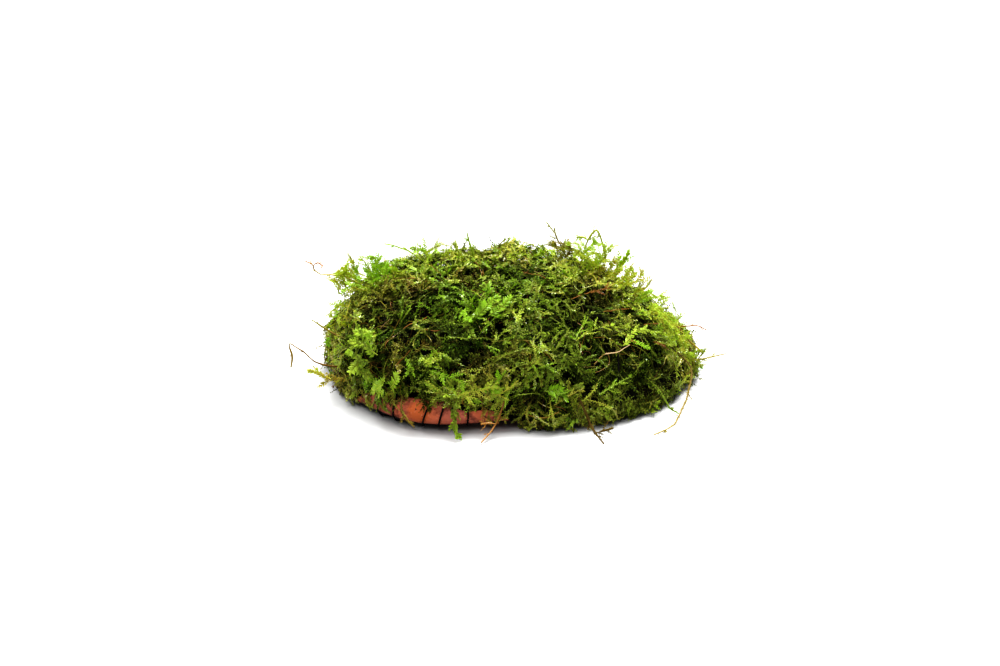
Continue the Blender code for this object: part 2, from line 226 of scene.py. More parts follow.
class Finish:
    # one material and its nodes
    def __init__(self, name):
        self.material = bpy.data.materials.new(name)
        self.material.use_nodes = True
        self.tree = self.material.node_tree
        self.tree.nodes.clear()

    def node(self, kind, settings=None, sockets=None, output=0):
        # any node, from its type, its settings, which are set first, and its sockets' values or
        # links; gives back one of its outputs
        made = self.tree.nodes.new("ShaderNode" + kind)
        for name, value in (settings or {}).items():
            if name == "stops":
                self.setStops(made.color_ramp, value)
            else:
                setattr(made, name, value)
        for name, value in (sockets or {}).items():
            if isinstance(value, Wire):
                self.tree.links.new(value.socket, made.inputs[name])
            else:
                made.inputs[name].default_value = value
        return Wire(self.tree, made.outputs[output]) if made.outputs else None

    def setStops(self, ramp, stops):
        # as many stops on the ramp as are given, each with its place and colour
        while len(ramp.elements) < len(stops):
            ramp.elements.new(1.0)
        for element, (place, shade) in zip(ramp.elements, stops):
            element.position, element.color = place, shade

    def ramp(self, value, stops):
        # a colour for each value
        return self.node("ValToRGB", {"stops": stops}, {"Fac": value})

    def mask(self, value, low, high):
        # 0 up to low, 1 from high on
        sockets = {"Value": value, "From Min": low, "From Max": high}
        return self.node("MapRange", {"interpolation_type": "SMOOTHSTEP"}, sockets)

    def blend(self, first, second, share, way="MIX"):
        # the first colour at share 0, the second at 1; sockets 0, 6 and 7 are factor, A and B
        settings = {"data_type": "RGBA", "blend_type": way}
        return self.node("Mix", settings, {0: share, 6: first, 7: second}, output=2)

    def noise(self, where, scale, detail=3.0, roughness=0.5):
        # a cloudy value round a half; the scale is lumps a metre
        sockets = {"Vector": where, "Scale": scale, "Detail": detail, "Roughness": roughness}
        return self.node("TexNoise", None, sockets)

    def bump(self, height, strength, distance):
        # a normal tilted by the height's slope; the distance is in metres
        sockets = {"Height": height, "Strength": strength, "Distance": distance}
        return self.node("Bump", None, sockets)

    def done(self, surface):
        # the shader joined to the output
        self.node("OutputMaterial", None, {"Surface": surface})
        return self.material


def shade(code):
    # a web colour as linear light
    parts = np.array([int(code[place:place + 2], 16) for place in (0, 2, 4)]) / 255
    light = np.where(parts < 0.04045, parts / 12.92, ((parts + 0.055) / 1.055) ** 2.4)
    return (*light.tolist(), 1.0)


def shades(*stops):
    # a colour ramp's stops from places and web colours
    return [(place, shade(code)) for place, code in stops]


# the clay shard

clay = {
    "halfLength": 52, "halfDepth": 45, "squareness": 2.25,
    "cornerAngle": -118, "cornerHalfWidth": 31, "cornerBulge": 0.095,
    "waves": ((3, 0.6, 0.009), (7, 2, 0.005)),  # waves all round, where they start, how high they are
    "thickness": 7.5, "rimRounding": 3.5, "archRise": 2.6, "landStart": 43.8,
    "around": 288, "flatRings": 26, "rimRings": 21,
    "unevenness": ((7.0, 0.12), (1.7, 0.05)), "seed": 5,  # size of the lumps, how far they stand out
    "clouds": ((0.36, "985444"), (0.5, "a45e4a"), (0.62, "a85c3e")), "pale": "b87a5c", "orange": "a4562a",
    # the foot's near-black colour on the next line is painted shade under the rim by the table
    "stain": "4a1c10", "dirt": "2a1a10", "damp": "0a0604", "roughness": 0.62,
    # in metres: the orange patch's middle, where it starts to fade, where it ends and how ragged that
    # is, and over what height the painted shade at the foot fades
    "patch": (-0.0265, -0.047, 0.0065), "patchEnds": (0.003, 0.0065), "ragged": 0.008,
    "footShadeEnds": (0.0012, 0.0022),
}


def turnFrom(angle, middle):
    # size of the turn between two directions, all in degrees
    return np.abs((angle - middle + 180) % 360 - 180)


def clayReach(angle):
    # the superellipse (|cos/A|^p + |sin/B|^p)^(-1/p), with slight waves and a cos^2 corner
    power = clay["squareness"]
    along = np.abs(np.cos(angle) / clay["halfLength"]) ** power
    across = np.abs(np.sin(angle) / clay["halfDepth"]) ** power
    waves = 1.0
    for count, start, much in clay["waves"]:
        waves = waves + much * np.sin(count * angle + start)
    away = turnFrom(np.degrees(angle), clay["cornerAngle"]) / clay["cornerHalfWidth"]
    corner = 1 + clay["cornerBulge"] * np.cos(np.minimum(away, 1) * math.pi / 2) ** 2
    return (along + across) ** (-1 / power) * waves * corner


def archHeight(x):
    # a parabola over the middle, flat on the table beyond the lands
    return clay["archRise"] * np.maximum(0, 1 - (x / clay["landStart"]) ** 2)


def claySection(angle, turn, grow=0.0):
    # a point of the rounded rim: straight in from the outline by the rounding, out again by its
    # cosine, and up by the sine of the turn from its lower to its upper edge
    half = clay["thickness"] / 2
    reach = clayReach(angle) + clay["rimRounding"] * (np.cos(turn) - 1) + grow * np.cos(turn)
    x = reach * np.cos(angle)
    height = half + (half + grow) * np.sin(turn) + archHeight(x)
    return np.stack(np.broadcast_arrays(x, reach * np.sin(angle), height), axis=-1)


def makeClayShard():
    # rings: out along the underside, round the rim and back in over the top; each point is then
    # pushed out or in along its own outward direction by two sizes of lumps
    angle = np.arange(clay["around"]) * fullTurn / clay["around"]
    outward = np.arange(1, clay["flatRings"]) / clay["flatRings"]
    crowded = 1 - (1 - outward) ** 2
    turn = np.linspace(-math.pi / 2, math.pi / 2, clay["rimRings"])[:, None]
    rim = claySection(angle, turn)
    flat = crowded[:, None] * (clayReach(angle) - clay["rimRounding"])
    x, y = flat * np.cos(angle), flat * np.sin(angle)
    under = np.stack([x, y, archHeight(x)], axis=-1)
    over = under[::-1] + (0, 0, clay["thickness"])
    rows = np.concatenate([under, rim, over])
    straight = np.full((len(over), 1), math.pi / 2)
    push = wayTo(np.concatenate([-straight, turn, straight]), angle)
    height = sum(lumps(rows, size, clay["seed"]) * much for size, much in clay["unevenness"])
    rows = rows + push * height[..., None]
    rows[..., 2] = np.maximum(rows[..., 2], 0)
    lowPole = (0, 0, clay["archRise"])
    highPole = (0, 0, clay["archRise"] + clay["thickness"])
    putMesh("clayShard", closedSkin(rows, lowPole, highPole), firedClay(),
            ["terracotta_shard"], soft=True)


def firedClay():
    # orange-red clay: broad paler and redder clouds, dark stains, brown specks of dirt, fine pits,
    # and a near-black foot that is painted shade under the rim
    made = Finish("firedClay")
    where = made.node("TexCoord", output=3)
    clouds = made.noise(where, 90, 4)
    grain = made.noise(where, 1300, 3)
    specks = made.noise(where, 620, 2, 0.6)
    stains = made.noise(where, 210, 4, 0.62)
    body = made.ramp(clouds, shades(*clay["clouds"]))
    away = made.node("VectorMath", {"operation": "DISTANCE"}, {0: where, 1: clay["patch"]}, output=1)
    outside = made.mask(away + (clouds - 0.5) * clay["ragged"], *clay["patchEnds"])
    body = made.blend(shade(clay["orange"]), body, outside)
    body = made.blend(body, shade(clay["pale"]), made.mask(grain, 0.56, 0.74) * 0.4)
    body = made.blend(body, shade(clay["stain"]), made.mask(stains, 0.52, 0.68) * 0.75)
    dirt = made.mask(specks, 0.63, 0.7)
    body = made.blend(body, shade(clay["dirt"]), dirt * 0.85)
    # painted shade: within about two millimetres of the table the clay turns near-black, for the shadow
    # under its rim
    upward = made.node("SeparateXYZ", None, {"Vector": where}, output=2)
    clearOfFootShade = made.mask(upward - stains * 0.001, *clay["footShadeEnds"])
    body = made.blend(shade(clay["damp"]), body, clearOfFootShade)
    pits = made.bump(grain * 0.6 + clouds * 0.8 - dirt * 0.3, 0.5, 0.0003)
    surface = made.node("BsdfPrincipled", None, {
        "Base Color": body, "Roughness": clay["roughness"] + stains * 0.2, "Normal": pits,
        "Specular IOR Level": 0.3})
    return made.done(surface)


# the mat, read from the frame: how far its outward faces stand from a point inside it

matMap = {
    "centre": np.array([0.0, 0.0, 10.0]), "azimuths": 96, "heights": 34, "lowest": -14,
    "outward": 0.25,  # least cosine of a face's direction to its sight line for it to count
    "blur": 0.05,  # radians over which neighbouring faces are averaged
    "farBlur": 0.25, "farShare": 1e-5,  # stands in where the mat has no face, as below the bare rim
    "slopeStep": 1.6,
    "relief": ((8.5, 1.9, 81), (3.6, 1.0, 82)),  # size, height and seed of the tufts
    "hole": (0.9, -4.0),  # width of a dark hole's dent as a share of its reach, and its depth
}
edge = {  # the shoots' lower edge: how far it is lifted round which direction, in degrees
    "clearance": 0.9, "bareLift": 6.6, "bareAngle": -114.5, "bareHalfAngle": 17.5, "bareFade": 7,
    "highLift": 2.6, "highAngle": -121, "highHalfAngle": 12, "highFade": 8,
    "rightLift": 0.7, "rightAngle": -38, "rightHalfAngle": 34, "rightFade": 24,
    "leftLift": 0.6, "leftAngle": -149, "leftHalfAngle": 12, "leftFade": 10,
}
heartEdge = edge | {
    "clearance": 1.8, "bareLift": 5.4, "bareAngle": -119, "bareHalfAngle": 27, "bareFade": 12,
}
swells = (
    # place, reach, how much higher the moss stands there than its solid
    ((-9, 25, 32), 6, 1.8), ((12, 25, 32), 7, 3.0), ((0.5, 25, 33), 4, -0.8), ((48, -24, 6), 9, -3.4),
    ((36, -36, 5), 9, -3.2), ((54, -4, 10), 7, -0.8), ((-37, 14, 28), 7, 1.0), ((-50, -22, 5), 8, -2.2),
    ((18, -47, 4), 9, -3.2), ((-44, -33, 3), 9, -3.6), ((4, -49, 3), 6, -1.8), ((19, 12, 33), 5, -3.2),
    ((26, 13, 31), 5, -3.0), ((50, -19, 4), 6, -3.4),
    ((46, -3, 22), 7, -1.4), ((-24, 22, 32), 6, -0.8), ((-56, -2, 14), 9, -2.4),
)


def readFaces(node):
    # the middle, the outward direction and the area of each face of one of the frame's solids
    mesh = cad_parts[node].data
    count = len(mesh.polygons)
    found = {}
    for name, width in (("center", 3), ("normal", 3), ("area", 1)):
        values = np.zeros(count * width, np.float32)
        mesh.polygons.foreach_get(name, values)
        found[name] = values.reshape(count, width).astype(float)
    return found["center"] / millimetre, unit(found["normal"]), found["area"][:, 0]


def mapOfMat():
    # in each direction the mean distance of the faces seen there, weighted by their areas and a
    # bell curve of the angle to them
    centres, normals, areas = readFaces("moss_mat")
    sight = centres - matMap["centre"]
    distance = np.linalg.norm(sight, axis=1)
    sight = unit(sight)
    outer = (sight * normals).sum(1) > matMap["outward"]
    azimuth = np.arange(matMap["azimuths"]) * fullTurn / matMap["azimuths"]
    height = np.radians(np.linspace(matMap["lowest"], 90, matMap["heights"]))[:, None]
    ways = wayTo(height, azimuth)
    apart = 1 - ways.reshape(-1, 3) @ sight[outer].T
    weight = np.exp(-apart / matMap["blur"] ** 2)
    weight += matMap["farShare"] * np.exp(-apart / matMap["farBlur"] ** 2)
    weight *= areas[outer]
    mean = (weight @ distance[outer]) / weight.sum(1)
    return mean.reshape(ways.shape[:2]), centres[outer], areas[outer]


matRadius, matSpots, matAreas = mapOfMat()
print("mat read:", len(matSpots), "outward faces, radius",
      matRadius.min().round(1), "to", matRadius.max().round(1))


def heightOverMat(points):
    # distance from the centre less the mapped radius in that direction, read between the
    # map's four nearest places
    sight = points - matMap["centre"]
    distance = np.linalg.norm(sight, axis=-1)
    rise = np.degrees(np.arcsin(np.clip(sight[..., 2] / distance, -1, 1)))
    column = np.arctan2(sight[..., 1], sight[..., 0]) / fullTurn % 1 * matMap["azimuths"]
    row = (rise - matMap["lowest"]) / (90 - matMap["lowest"]) * (matMap["heights"] - 1)
    row = np.clip(row, 0, matMap["heights"] - 1.001)
    left, low = np.floor(column).astype(int), np.floor(row).astype(int)
    across, upward = column - left, row - low
    left = left % matMap["azimuths"]
    right = (left + 1) % matMap["azimuths"]
    lower = matRadius[low, left] * (1 - across) + matRadius[low, right] * across
    upper = matRadius[low + 1, left] * (1 - across) + matRadius[low + 1, right] * across
    return distance - lower * (1 - upward) - upper * upward


def slopeOfMat(points):
    # the way in which the height grows fastest, from its difference over a short step each way
    step = matMap["slopeStep"]
    ways = np.eye(3) * step
    rises = [(heightOverMat(points + way) - heightOverMat(points - way)) / (2 * step) for way in ways]
    return np.stack(rises, axis=-1)


def edgeHeight(points, plan):
    # the lower edge's height over the table, lifted where the clay rim is bare
    angle = np.degrees(np.arctan2(points[..., 1], points[..., 0]))
    lift = plan["clearance"]
    for part in ("bare", "high", "right", "left"):
        away = turnFrom(angle, plan[part + "Angle"])
        share = ease((plan[part + "HalfAngle"] - away) / plan[part + "Fade"] + 0.5)
        lift = lift + plan[part + "Lift"] * share
    return lift


def clearOfClay(points, margin):
    # a point inside the grown clay goes straight out past its rim or up through its top,
    # whichever is nearer
    angle = np.arctan2(points[..., 1], points[..., 0])
    reach = np.hypot(points[..., 0], points[..., 1])
    half = clay["thickness"] / 2
    level = points[..., 2] - archHeight(points[..., 0]) - half
    lean = np.sqrt(np.maximum(0, 1 - (level / half) ** 2))
    outBy = clayReach(angle) + clay["rimRounding"] * (lean - 1) + margin - reach
    upBy = half + margin - level
    inside = (outBy > 0) & (upBy > 0)
    sideways = inside & (outBy < upBy)
    moved = points.copy()
    moved[..., 0] += np.where(sideways, outBy, 0) * np.cos(angle)
    moved[..., 1] += np.where(sideways, outBy, 0) * np.sin(angle)
    moved[..., 2] += np.where(inside & ~sideways, upBy, 0)
    return moved


# the dark heart of the mat: dead shoots and mud packed under the live ones, near-black partly by
# their own colour and partly as painted shade of the deep gaps

heart = {
    "depth": 5.2, "around": 192, "rings": 54, "sideRings": 8, "topRings": 10,
    "clearance": 0.35, "moreClearance": 0.2,  # from the clay, the second on the outside only
    "pastRim": 1.5, "edgeTurn": (-0.8, 0.95),  # its lower edge out from the rim, and its sine round it
    "farOff": 80, "lumps": ((5.0, 1.1), (1.6, 0.45)), "seed": 11,
    # the strings' near-black colours are partly painted shade of the deep gaps
    "strings": ((0.32, "030401"), (0.52, "0a0c02"), (0.68, "151205"), (0.8, "201f08")), "mud": "0e0803",
}


def makeMossHeart():
    # rings down from the pole along the mat's mapped form less a depth and lumps, to its lower
    # edge, then round the clay's rim and in over its top to the middle
    angle = np.arange(heart["around"]) * fullTurn / heart["around"]
    flatReach = clayReach(angle) + heart["pastRim"]
    rim = np.stack([flatReach * np.cos(angle), flatReach * np.sin(angle), 0 * angle], axis=-1)
    low = edgeHeight(rim, heartEdge)
    lowest = np.arctan2(low - matMap["centre"][2], flatReach)
    share = (np.arange(1, heart["rings"] + 1) / heart["rings"])[:, None]
    rise = math.pi / 2 + (lowest - math.pi / 2) * share
    way = wayTo(rise, angle)
    far = matMap["centre"] + way * heart["farOff"]
    radius = heart["farOff"] - heightOverMat(far)
    place = matMap["centre"] + way * radius[..., None]
    bumps = sum(lumps(place, size, heart["seed"]) * much for size, much in heart["lumps"])
    outer = matMap["centre"] + way * (radius - heart["depth"] + bumps)[..., None]
    outer[..., 2] = np.maximum(outer[..., 2], low)
    outer = clearOfClay(outer, heart["clearance"] + heart["moreClearance"])
    half = clay["thickness"] / 2
    lowTurn = np.arcsin(np.clip((low - archHeight(rim[:, 0]) - half) / half, *heart["edgeTurn"]))
    share = np.linspace(0, 1, heart["sideRings"])[:, None]
    side = claySection(angle, lowTurn + (math.pi / 2 - lowTurn) * share, heart["clearance"])
    share = (1 - np.arange(1, heart["topRings"]) / heart["topRings"])[:, None]
    flat = share * (clayReach(angle) - clay["rimRounding"])
    x, y = flat * np.cos(angle), flat * np.sin(angle)
    top = np.stack([x, y, archHeight(x) + clay["thickness"] + heart["clearance"]], axis=-1)
    rows = np.concatenate([outer, side, top])[::-1]
    middle = (0, 0, clay["archRise"] + clay["thickness"] + heart["clearance"])
    summit = outer[0].mean(0)
    putMesh("mossHeart", closedSkin(rows, middle, summit), packedMoss(), ["moss_mat"], soft=True)


def packedMoss():
    # near-black wet brown and green, stringy: the dead shoots' and mud's own colour, darkened further as
    # painted shade of the deep gaps where it shows
    made = Finish("packedMoss")
    where = made.node("TexCoord", output=3)
    stretched = made.node("Mapping", None, {"Vector": where, "Scale": (1.0, 1.0, 0.35)})
    strings = made.noise(stretched, 900, 5, 0.7)
    clouds = made.noise(where, 110, 3)
    body = made.ramp(strings, shades(*heart["strings"]))
    body = made.blend(body, shade(heart["mud"]), made.mask(clouds, 0.45, 0.6) * 0.7)
    rough = made.bump(strings, 0.9, 0.0009)
    surface = made.node("BsdfPrincipled", None, {
        "Base Color": body, "Roughness": 0.7 + clouds * 0.2, "Specular IOR Level": 0.03, "Normal": rough})
    return made.done(surface)


# leaves and shoots; a shoot is a row of points, the way its flat side faces, its tone and age

leafHabit = {  # angles in degrees from the stem; lift, curl, cup and widest as shares of the length
    "from": 0.03, "angle": 46, "angleSpread": 8, "closing": 0.45, "tipTurn": 0.15,
    "lift": 0.1, "liftSpread": 0.17, "roll": 0.3, "leastCurl": 0.02, "curl": 0.25, "cup": 0.09,
    "aspect": 0.58, "widest": 0.42, "shootSize": (0.75, 1.2), "leafSize": (0.7, 1.15), "smaller": 0.4,
    "toneSpread": 0.035, "tones": (0.03, 0.97), "ageSpread": 0.12, "tipAge": 0.2, "ages": (0.05, 0.9),
    # what is added at the foot, one side, the tip and the other side
    "cornerTones": (0, 0.008, 0, -0.008), "cornerAges": (-0.05, 0.0, 0.08, 0.0),
}
sideHabit = {  # of all side shoots; the plans give their number, lengths and angle
    "to": 0.95, "last": 0.97, "shift": 0.05, "angleSpread": 12, "lift": 0.1, "liftSpread": 0.25,
    "full": 1.15, "less": 0.75, "longest": 0.33, "rest": 0.67, "forward": 0.35, "sway": 0.3,
    "swaySize": 3.0, "seed": 71, "toneSpread": 0.03, "younger": 0.04, "sides": 3,
    "leafShare": 0.9, "leavesFrom": 0.06,
}
stemAges = {"share": 0.85, "ends": (0.05, 0.93)}  # of the leaves' age
drift = {"kept": 0.75, "new": 0.6}  # how much of its turning a shoot keeps and takes on at each step


def partWay(path, facing, share):
    # at a share of the way along each path: the point before it, the place, the way the path runs
    # and the way its flat side faces
    at = share * (path.shape[1] - 1)
    low = np.minimum(at.astype(int), path.shape[1] - 2)
    part = (at - low)[:, None]
    place = path[:, low] * (1 - part) + path[:, low + 1] * part
    return low, place, unit(path[:, low + 1] - path[:, low]), facing[:, low]


def leafRows(shoot, leaf, draw):
    # Leaves in two rows along each path, left and right in turn, and one on its tip. A leaf is a
    # closed kite: foot and tip on its keel, its two side corners a little behind the keel.
    path, facing, tone, age = shoot
    paths, count = len(path), leaf["count"] + 1
    share = leaf["from"] + (1 - leaf["from"]) * (np.arange(count) + 0.5) / (count - 0.5)  # last one at 1
    low, foot, along, face = partWay(path, facing, share)
    hand = np.where(np.arange(count) % 2, 1, -1)[:, None]
    side = unit(np.cross(face, along)) * hand
    face = np.cross(along, side) * hand
    spread = leaf["angle"] + draw.normal(0, leaf["angleSpread"], (paths, count))
    spread = np.radians(spread * (1 - leaf["closing"] * share ** 4))
    spread[:, -1] *= leaf["tipTurn"]
    blade = along * np.cos(spread)[..., None] + side * np.sin(spread)[..., None]
    blade = unit(blade + face * draw.normal(leaf["lift"], leaf["liftSpread"], (paths, count, 1)))
    width = unit(np.cross(face, blade) + face * draw.normal(0, leaf["roll"], (paths, count, 1)))
    back = np.cross(width, blade)
    size = leaf["length"] * draw.uniform(*leaf["shootSize"], (paths, 1))
    size = size * draw.uniform(*leaf["leafSize"], (paths, count))
    size = (size * (1 - leaf["smaller"] * share ** 3))[..., None]
    curl = draw.uniform(leaf["leastCurl"], leaf["curl"], (paths, count, 1))
    middle = foot + blade * size * leaf["widest"] + back * size * (leaf["cup"] + leaf["widest"] * curl)
    wide = width * size * leaf["aspect"] / 2
    tip = foot + blade * size + back * size * curl
    corners = np.stack([foot, middle + wide, tip, middle - wide], axis=2)
    leafTone = np.clip(tone[:, low] + draw.normal(0, leaf["toneSpread"], (paths, count)), *leaf["tones"])
    leafAge = age[:, low] + draw.normal(0, leaf["ageSpread"], (paths, count))
    leafAge = np.clip(leafAge + leaf["tipAge"] * (share - 0.5), *leaf["ages"])
    places = np.stack([
        leafTone[..., None] + np.array(leaf["cornerTones"]),
        leafAge[..., None] + np.array(leaf["cornerAges"])], axis=-1)
    index = np.arange(paths * count)[:, None, None] * 4
    faces = (index + np.array([[0, 3, 2], [0, 2, 1], [0, 1, 3], [2, 3, 1]])).reshape(-1, 3)
    return corners.reshape(-1, 3), [faces], places.reshape(-1, 2)


def sideShoots(shoot, plan, draw):
    # Branches leave each path left and right in turn at an angle, bend forward with the square of
    # their length, and are longest a third of the way up.
    side = sideHabit
    path, facing, tone, age = shoot
    paths, count, points = len(path), plan["branches"], plan["branchSteps"]
    share = (np.arange(count) + 0.5) / count * (side["to"] - plan["branchFrom"]) + plan["branchFrom"]
    share = np.clip(share + draw.uniform(-side["shift"], side["shift"], count), 0, side["last"])
    low, foot, along, face = partWay(path, facing, share)
    across = unit(np.cross(face, along)) * np.where(np.arange(count) % 2, 1, -1)[:, None]
    lean = np.radians(plan["branchAngle"] + draw.normal(0, side["angleSpread"], (paths, count, 1)))
    way = along * np.cos(lean) + across * np.sin(lean)
    way = unit(way + face * draw.normal(side["lift"], side["liftSpread"], (paths, count, 1)))
    length = draw.uniform(*plan["branchLength"], (paths, count))
    length = length * (side["full"] - side["less"] * np.abs(share - side["longest"]) / side["rest"])
    reach = np.linspace(0, 1, points)[:, None]
    forward = along * side["forward"] + mixed(foot, side["swaySize"], side["seed"]) * side["sway"]
    bend = forward[:, :, None] * reach ** 2 + way[:, :, None] * reach
    branch = (foot[:, :, None] + bend * length[..., None, None]).reshape(-1, points, 3)
    turned = np.broadcast_to(face[:, :, None], (paths, count, points, 3)).reshape(-1, points, 3)
    even = np.zeros((1, points))
    branchTone = (tone[:, low] + draw.normal(0, side["toneSpread"], (paths, count))).reshape(-1, 1) + even
    branchAge = (age[:, low] + side["younger"]).reshape(-1, 1) + even
    return branch, turned, branchTone, branchAge


def stemAge(age):
    # a stem is a little older than its leaves
    return np.clip(age * stemAges["share"], *stemAges["ends"])


def shootParts(shoot, plan, draw, settled=None):
    # stems, their leaves, their side shoots and the leaves on those
    path, facing, tone, age = shoot
    taper = np.linspace(*plan["stem"], path.shape[1]) + np.zeros(path.shape[:2])
    leaf = leafHabit | plan["leaf"]
    thick = taper * plan.get("knobs", 1)
    parts = [
        tubes(path, facing, tone * plan["stemTone"], stemAge(age), thick, plan["sides"]),
        leafRows(shoot, leaf, draw)]
    if plan["branches"]:
        branch, turned, branchTone, branchAge = sideShoots(shoot, plan, draw)
        if settled is not None:
            branch = settled(branch)
        taper = np.linspace(*plan["branchStem"], branch.shape[1]) + np.zeros(branch.shape[:2])
        parts.append(tubes(branch, turned, branchTone * plan["stemTone"], stemAge(branchAge), taper,
                           sideHabit["sides"]))
        length = leaf["length"] * sideHabit["leafShare"]
        leaf = leaf | {"count": plan["branchLeaves"], "from": sideHabit["leavesFrom"], "length": length}
        parts.append(leafRows((branch, turned, branchTone, branchAge), leaf, draw))
    return parts


def bells(points, rises):
    # the sum of a bell curve round each place, of its own reach and height
    return sum(rise * bell(points, place, reach) for place, reach, rise in rises)


def relief(points):
    # tufts that stand proud and gaps between them, from two sizes of lumps, a bell curve for
    # each swell and one down into each dark hole
    tufts = sum(lumps(points, size, seed) * much for size, much, seed in matMap["relief"])
    wide, deep = matMap["hole"]
    dents = [(place, reach * wide, deep) for place, reach in darkHoles]
    return tufts + bells(points, swells) + bells(points, dents)


def growOverMat(starts, aims, lengths, heights, plan, draw):
    # Each step goes on along the aim, is pulled on to its height over the mat, and turns by a
    # rate that drifts; the aim keeps to the mat's surface and leans a little downhill.
    point, aim = starts, aims
    turn = draw.normal(0, plan["wander"], len(starts))
    step = (lengths / (heights.shape[1] - 1))[:, None]
    path, facing = [], []
    for height in heights.T:
        slope = slopeOfMat(point)
        steep = np.linalg.norm(slope, axis=1)
        normal = slope / steep[:, None]
        height = np.maximum(height + relief(point) * plan["relief"], -heart["depth"])
        point = point + normal * ((height - heightOverMat(point)) / steep)[:, None]
        path.append(point)
        facing.append(normal)
        aim = aim - (0, 0, plan["sag"])
        aim = alongSurface(aim, normal)
        bend = (turn * step[:, 0])[:, None]
        aim = aim * np.cos(bend) + np.cross(normal, aim) * np.sin(bend)
        turn = drift["kept"] * turn + draw.normal(0, plan["wander"], len(starts)) * drift["new"]
        point = point + aim * step
    return np.stack(path, axis=1), np.stack(facing, axis=1)


patchPull = 0.8  # how far a patch draws the shoots in its middle over to its own tone and age
tonePatches = (
    # place on the mat, reach, tone, age: where the photograph shows one colour over another
    ((-6, -29, 32), 4.5, 0.84, 0.48),  # the bright fan near the top
    ((-17, -24, 34), 6, 0.64, 0.0),  # dark round its left
    ((0, -23, 33), 4, 0.7, 0.36),
    ((-42, -27, 22), 6, 0.62, 0.6),  # bright broad leaves at the left
    ((-34, -41, 12), 4, 0.74, 1.0),
    ((-41, -5, 28), 7, 0.28, 0.3),  # brown shoulder at the left
    ((-31, -4, 32), 7, 0.3, 0.15),
    ((-39, -12, 29), 4, 0.34, 0.2),
    ((-24, -14, 32), 6, 0.25, 0.12),
    ((-26, -27, 30), 4, 0.7, 0.75),
    ((-27, -34, 27), 4, 0.7, 0.3),
    ((-9, -36, 29), 3.5, 0.68, 0.7),
    ((-34, -35, 23), 4, 0.62, 0.4),
    ((-8, -44, 20), 6, 0.12, 0.42),
    ((-35, -38, 19), 5, 0.06, 0.16),
    ((-41, -20, 26), 4, 0.42, 0.4),
    ((16, -24, 31), 3.5, 0.36, 0.3),
    ((-21, -45, 18.5), 4.5, 0.62, 0.6),
    ((-12, -34, 29), 4, 0.7, 0.62),
    ((-3, -40, 25), 3.5, 0.6, 0.95),
    ((13, -39, 25), 4, 0.62, 0.6),
    ((20, -39, 21), 5, 0.66, 0.3),
    ((1, -45, 17), 5, 0.42, 1.0),
    ((-14, -47, 14), 8, 0.6, 1.1),
    ((-8, -47, 12.5), 6, 0.48, 1.2),
    ((3, -10, 34), 7, 0.7, 0.22),  # dark grey-green crown
    ((10, -2, 34), 7, 0.6, 0.34),
    ((-14, 3, 35), 6, 0.52, 0.4),
    ((-11, -11, 34), 4, 0.7, 0.66),
    ((7, -20, 32), 7, 0.72, 0.22),
    ((18, -28, 28), 8, 0.7, 0.36),
    ((10, -31, 29), 7, 0.72, 0.36),
    ((4, -38, 26), 4.5, 0.68, 0.12),
    ((3, -44, 21), 3.5, 0.34, 0.12),
    ((-2, -43, 20), 3.5, 0.4, 0.15),
    ((-11, -46, 17.5), 3.5, 0.4, 0.35),
    ((-2, -47, 12), 3, 0.3, 0.35),
    ((-9, -48, 9), 3.5, 0.3, 0.2),
    ((17, -8, 33), 4, 0.6, 0.36),
    ((19, -32, 26), 5, 0.7, 0.22),
    ((14, -44, 21), 4.5, 0.72, 0.2),
    ((21, -43, 16), 4, 0.74, 0.15),
    ((-15, -45, 22), 3.5, 0.5, 0.15),
    ((-43, -30, 14), 5, 0.66, 0.66),
    ((-41, -33, 9), 5, 0.64, 0.7),
    ((-49, -12, 20), 4, 0.5, 0.95),
    ((-38, 6, 31), 8, 0.56, 1.0),
    ((-47, 2, 26), 7, 0.46, 0.9),
    ((-22, 10, 35), 9, 0.5, 0.8),
    ((0, 12, 36), 8, 0.45, 0.78),
    ((-12, 22, 34), 7, 0.48, 0.85),
    ((49, -8, 16), 10, 0.45, 1.15),  # light fringe at the right: its own young colour, made paler still as painted light from behind
    ((51, -13, 9), 7, 0.44, 1.25),
    ((50, -17, 5), 5, 0.42, 1.05),
    ((44, -22, 5), 5, 0.42, 0.9),
    ((24, 10, 33), 12, 0.46, 1.15),
    ((38, 3, 26), 10, 0.47, 1.1),
    ((46, 0, 20), 8, 0.5, 1.0),
    ((29, -8, 28), 5, 0.5, 0.15),
    ((31, -4, 27), 3, 0.5, 0.4),
    ((40, -17, 22), 4, 0.62, 0.45),
    ((30, -34, 22), 3.5, 0.62, 0.7),
    ((-54, 0, 14), 8, 0.35, 1.25),  # light fringe at the left: its own young colour, made paler still as painted light from behind
    ((-52, -10, 14), 6, 0.38, 1.15),
    ((-49, -19, 7), 5, 0.36, 1.0),
    ((-45, -26, 4), 6, 0.36, 1.0),
    ((-20, -49, 4), 8, 0.3, 0.3),  # dark and brown under the front edge
    ((3, -48, 7), 4, 0.44, 0.3),
    ((10, -48, 8), 5, 0.5, 1.15),
    ((13, -48, 3), 6, 0.42, 1.05),
    ((21, -45, 11), 4, 0.52, 0.9),
    ((26, -44, 5), 8, 0.48, 1.0),
    ((31, -41, 3), 5, 0.4, 1.0),
    ((32, -37, 10), 7, 0.7, 0.32),  # dark flat fronds low at the right
    ((30, -37, 14), 3.5, 0.72, 0.12),
    ((36, -32, 17), 4, 0.74, 0.5),
    ((41, -27, 11), 7, 0.68, 0.36),
    ((38, -35, 4), 6, 0.48, 0.85),
    ((24, -12, 30), 5, 0.36, 0.1),
    ((-47, -28, 9), 5, 0.56, 0.8),
    ((20, 30, 26), 11, 0.75, 0.8),  # the side that it doesn't show
    ((-20, 36, 22), 10, 0.4, 0.35),
    ((-45, 18, 18), 9, 0.7, 0.7),
    ((44, 18, 14), 8, 0.5, 0.4),
)
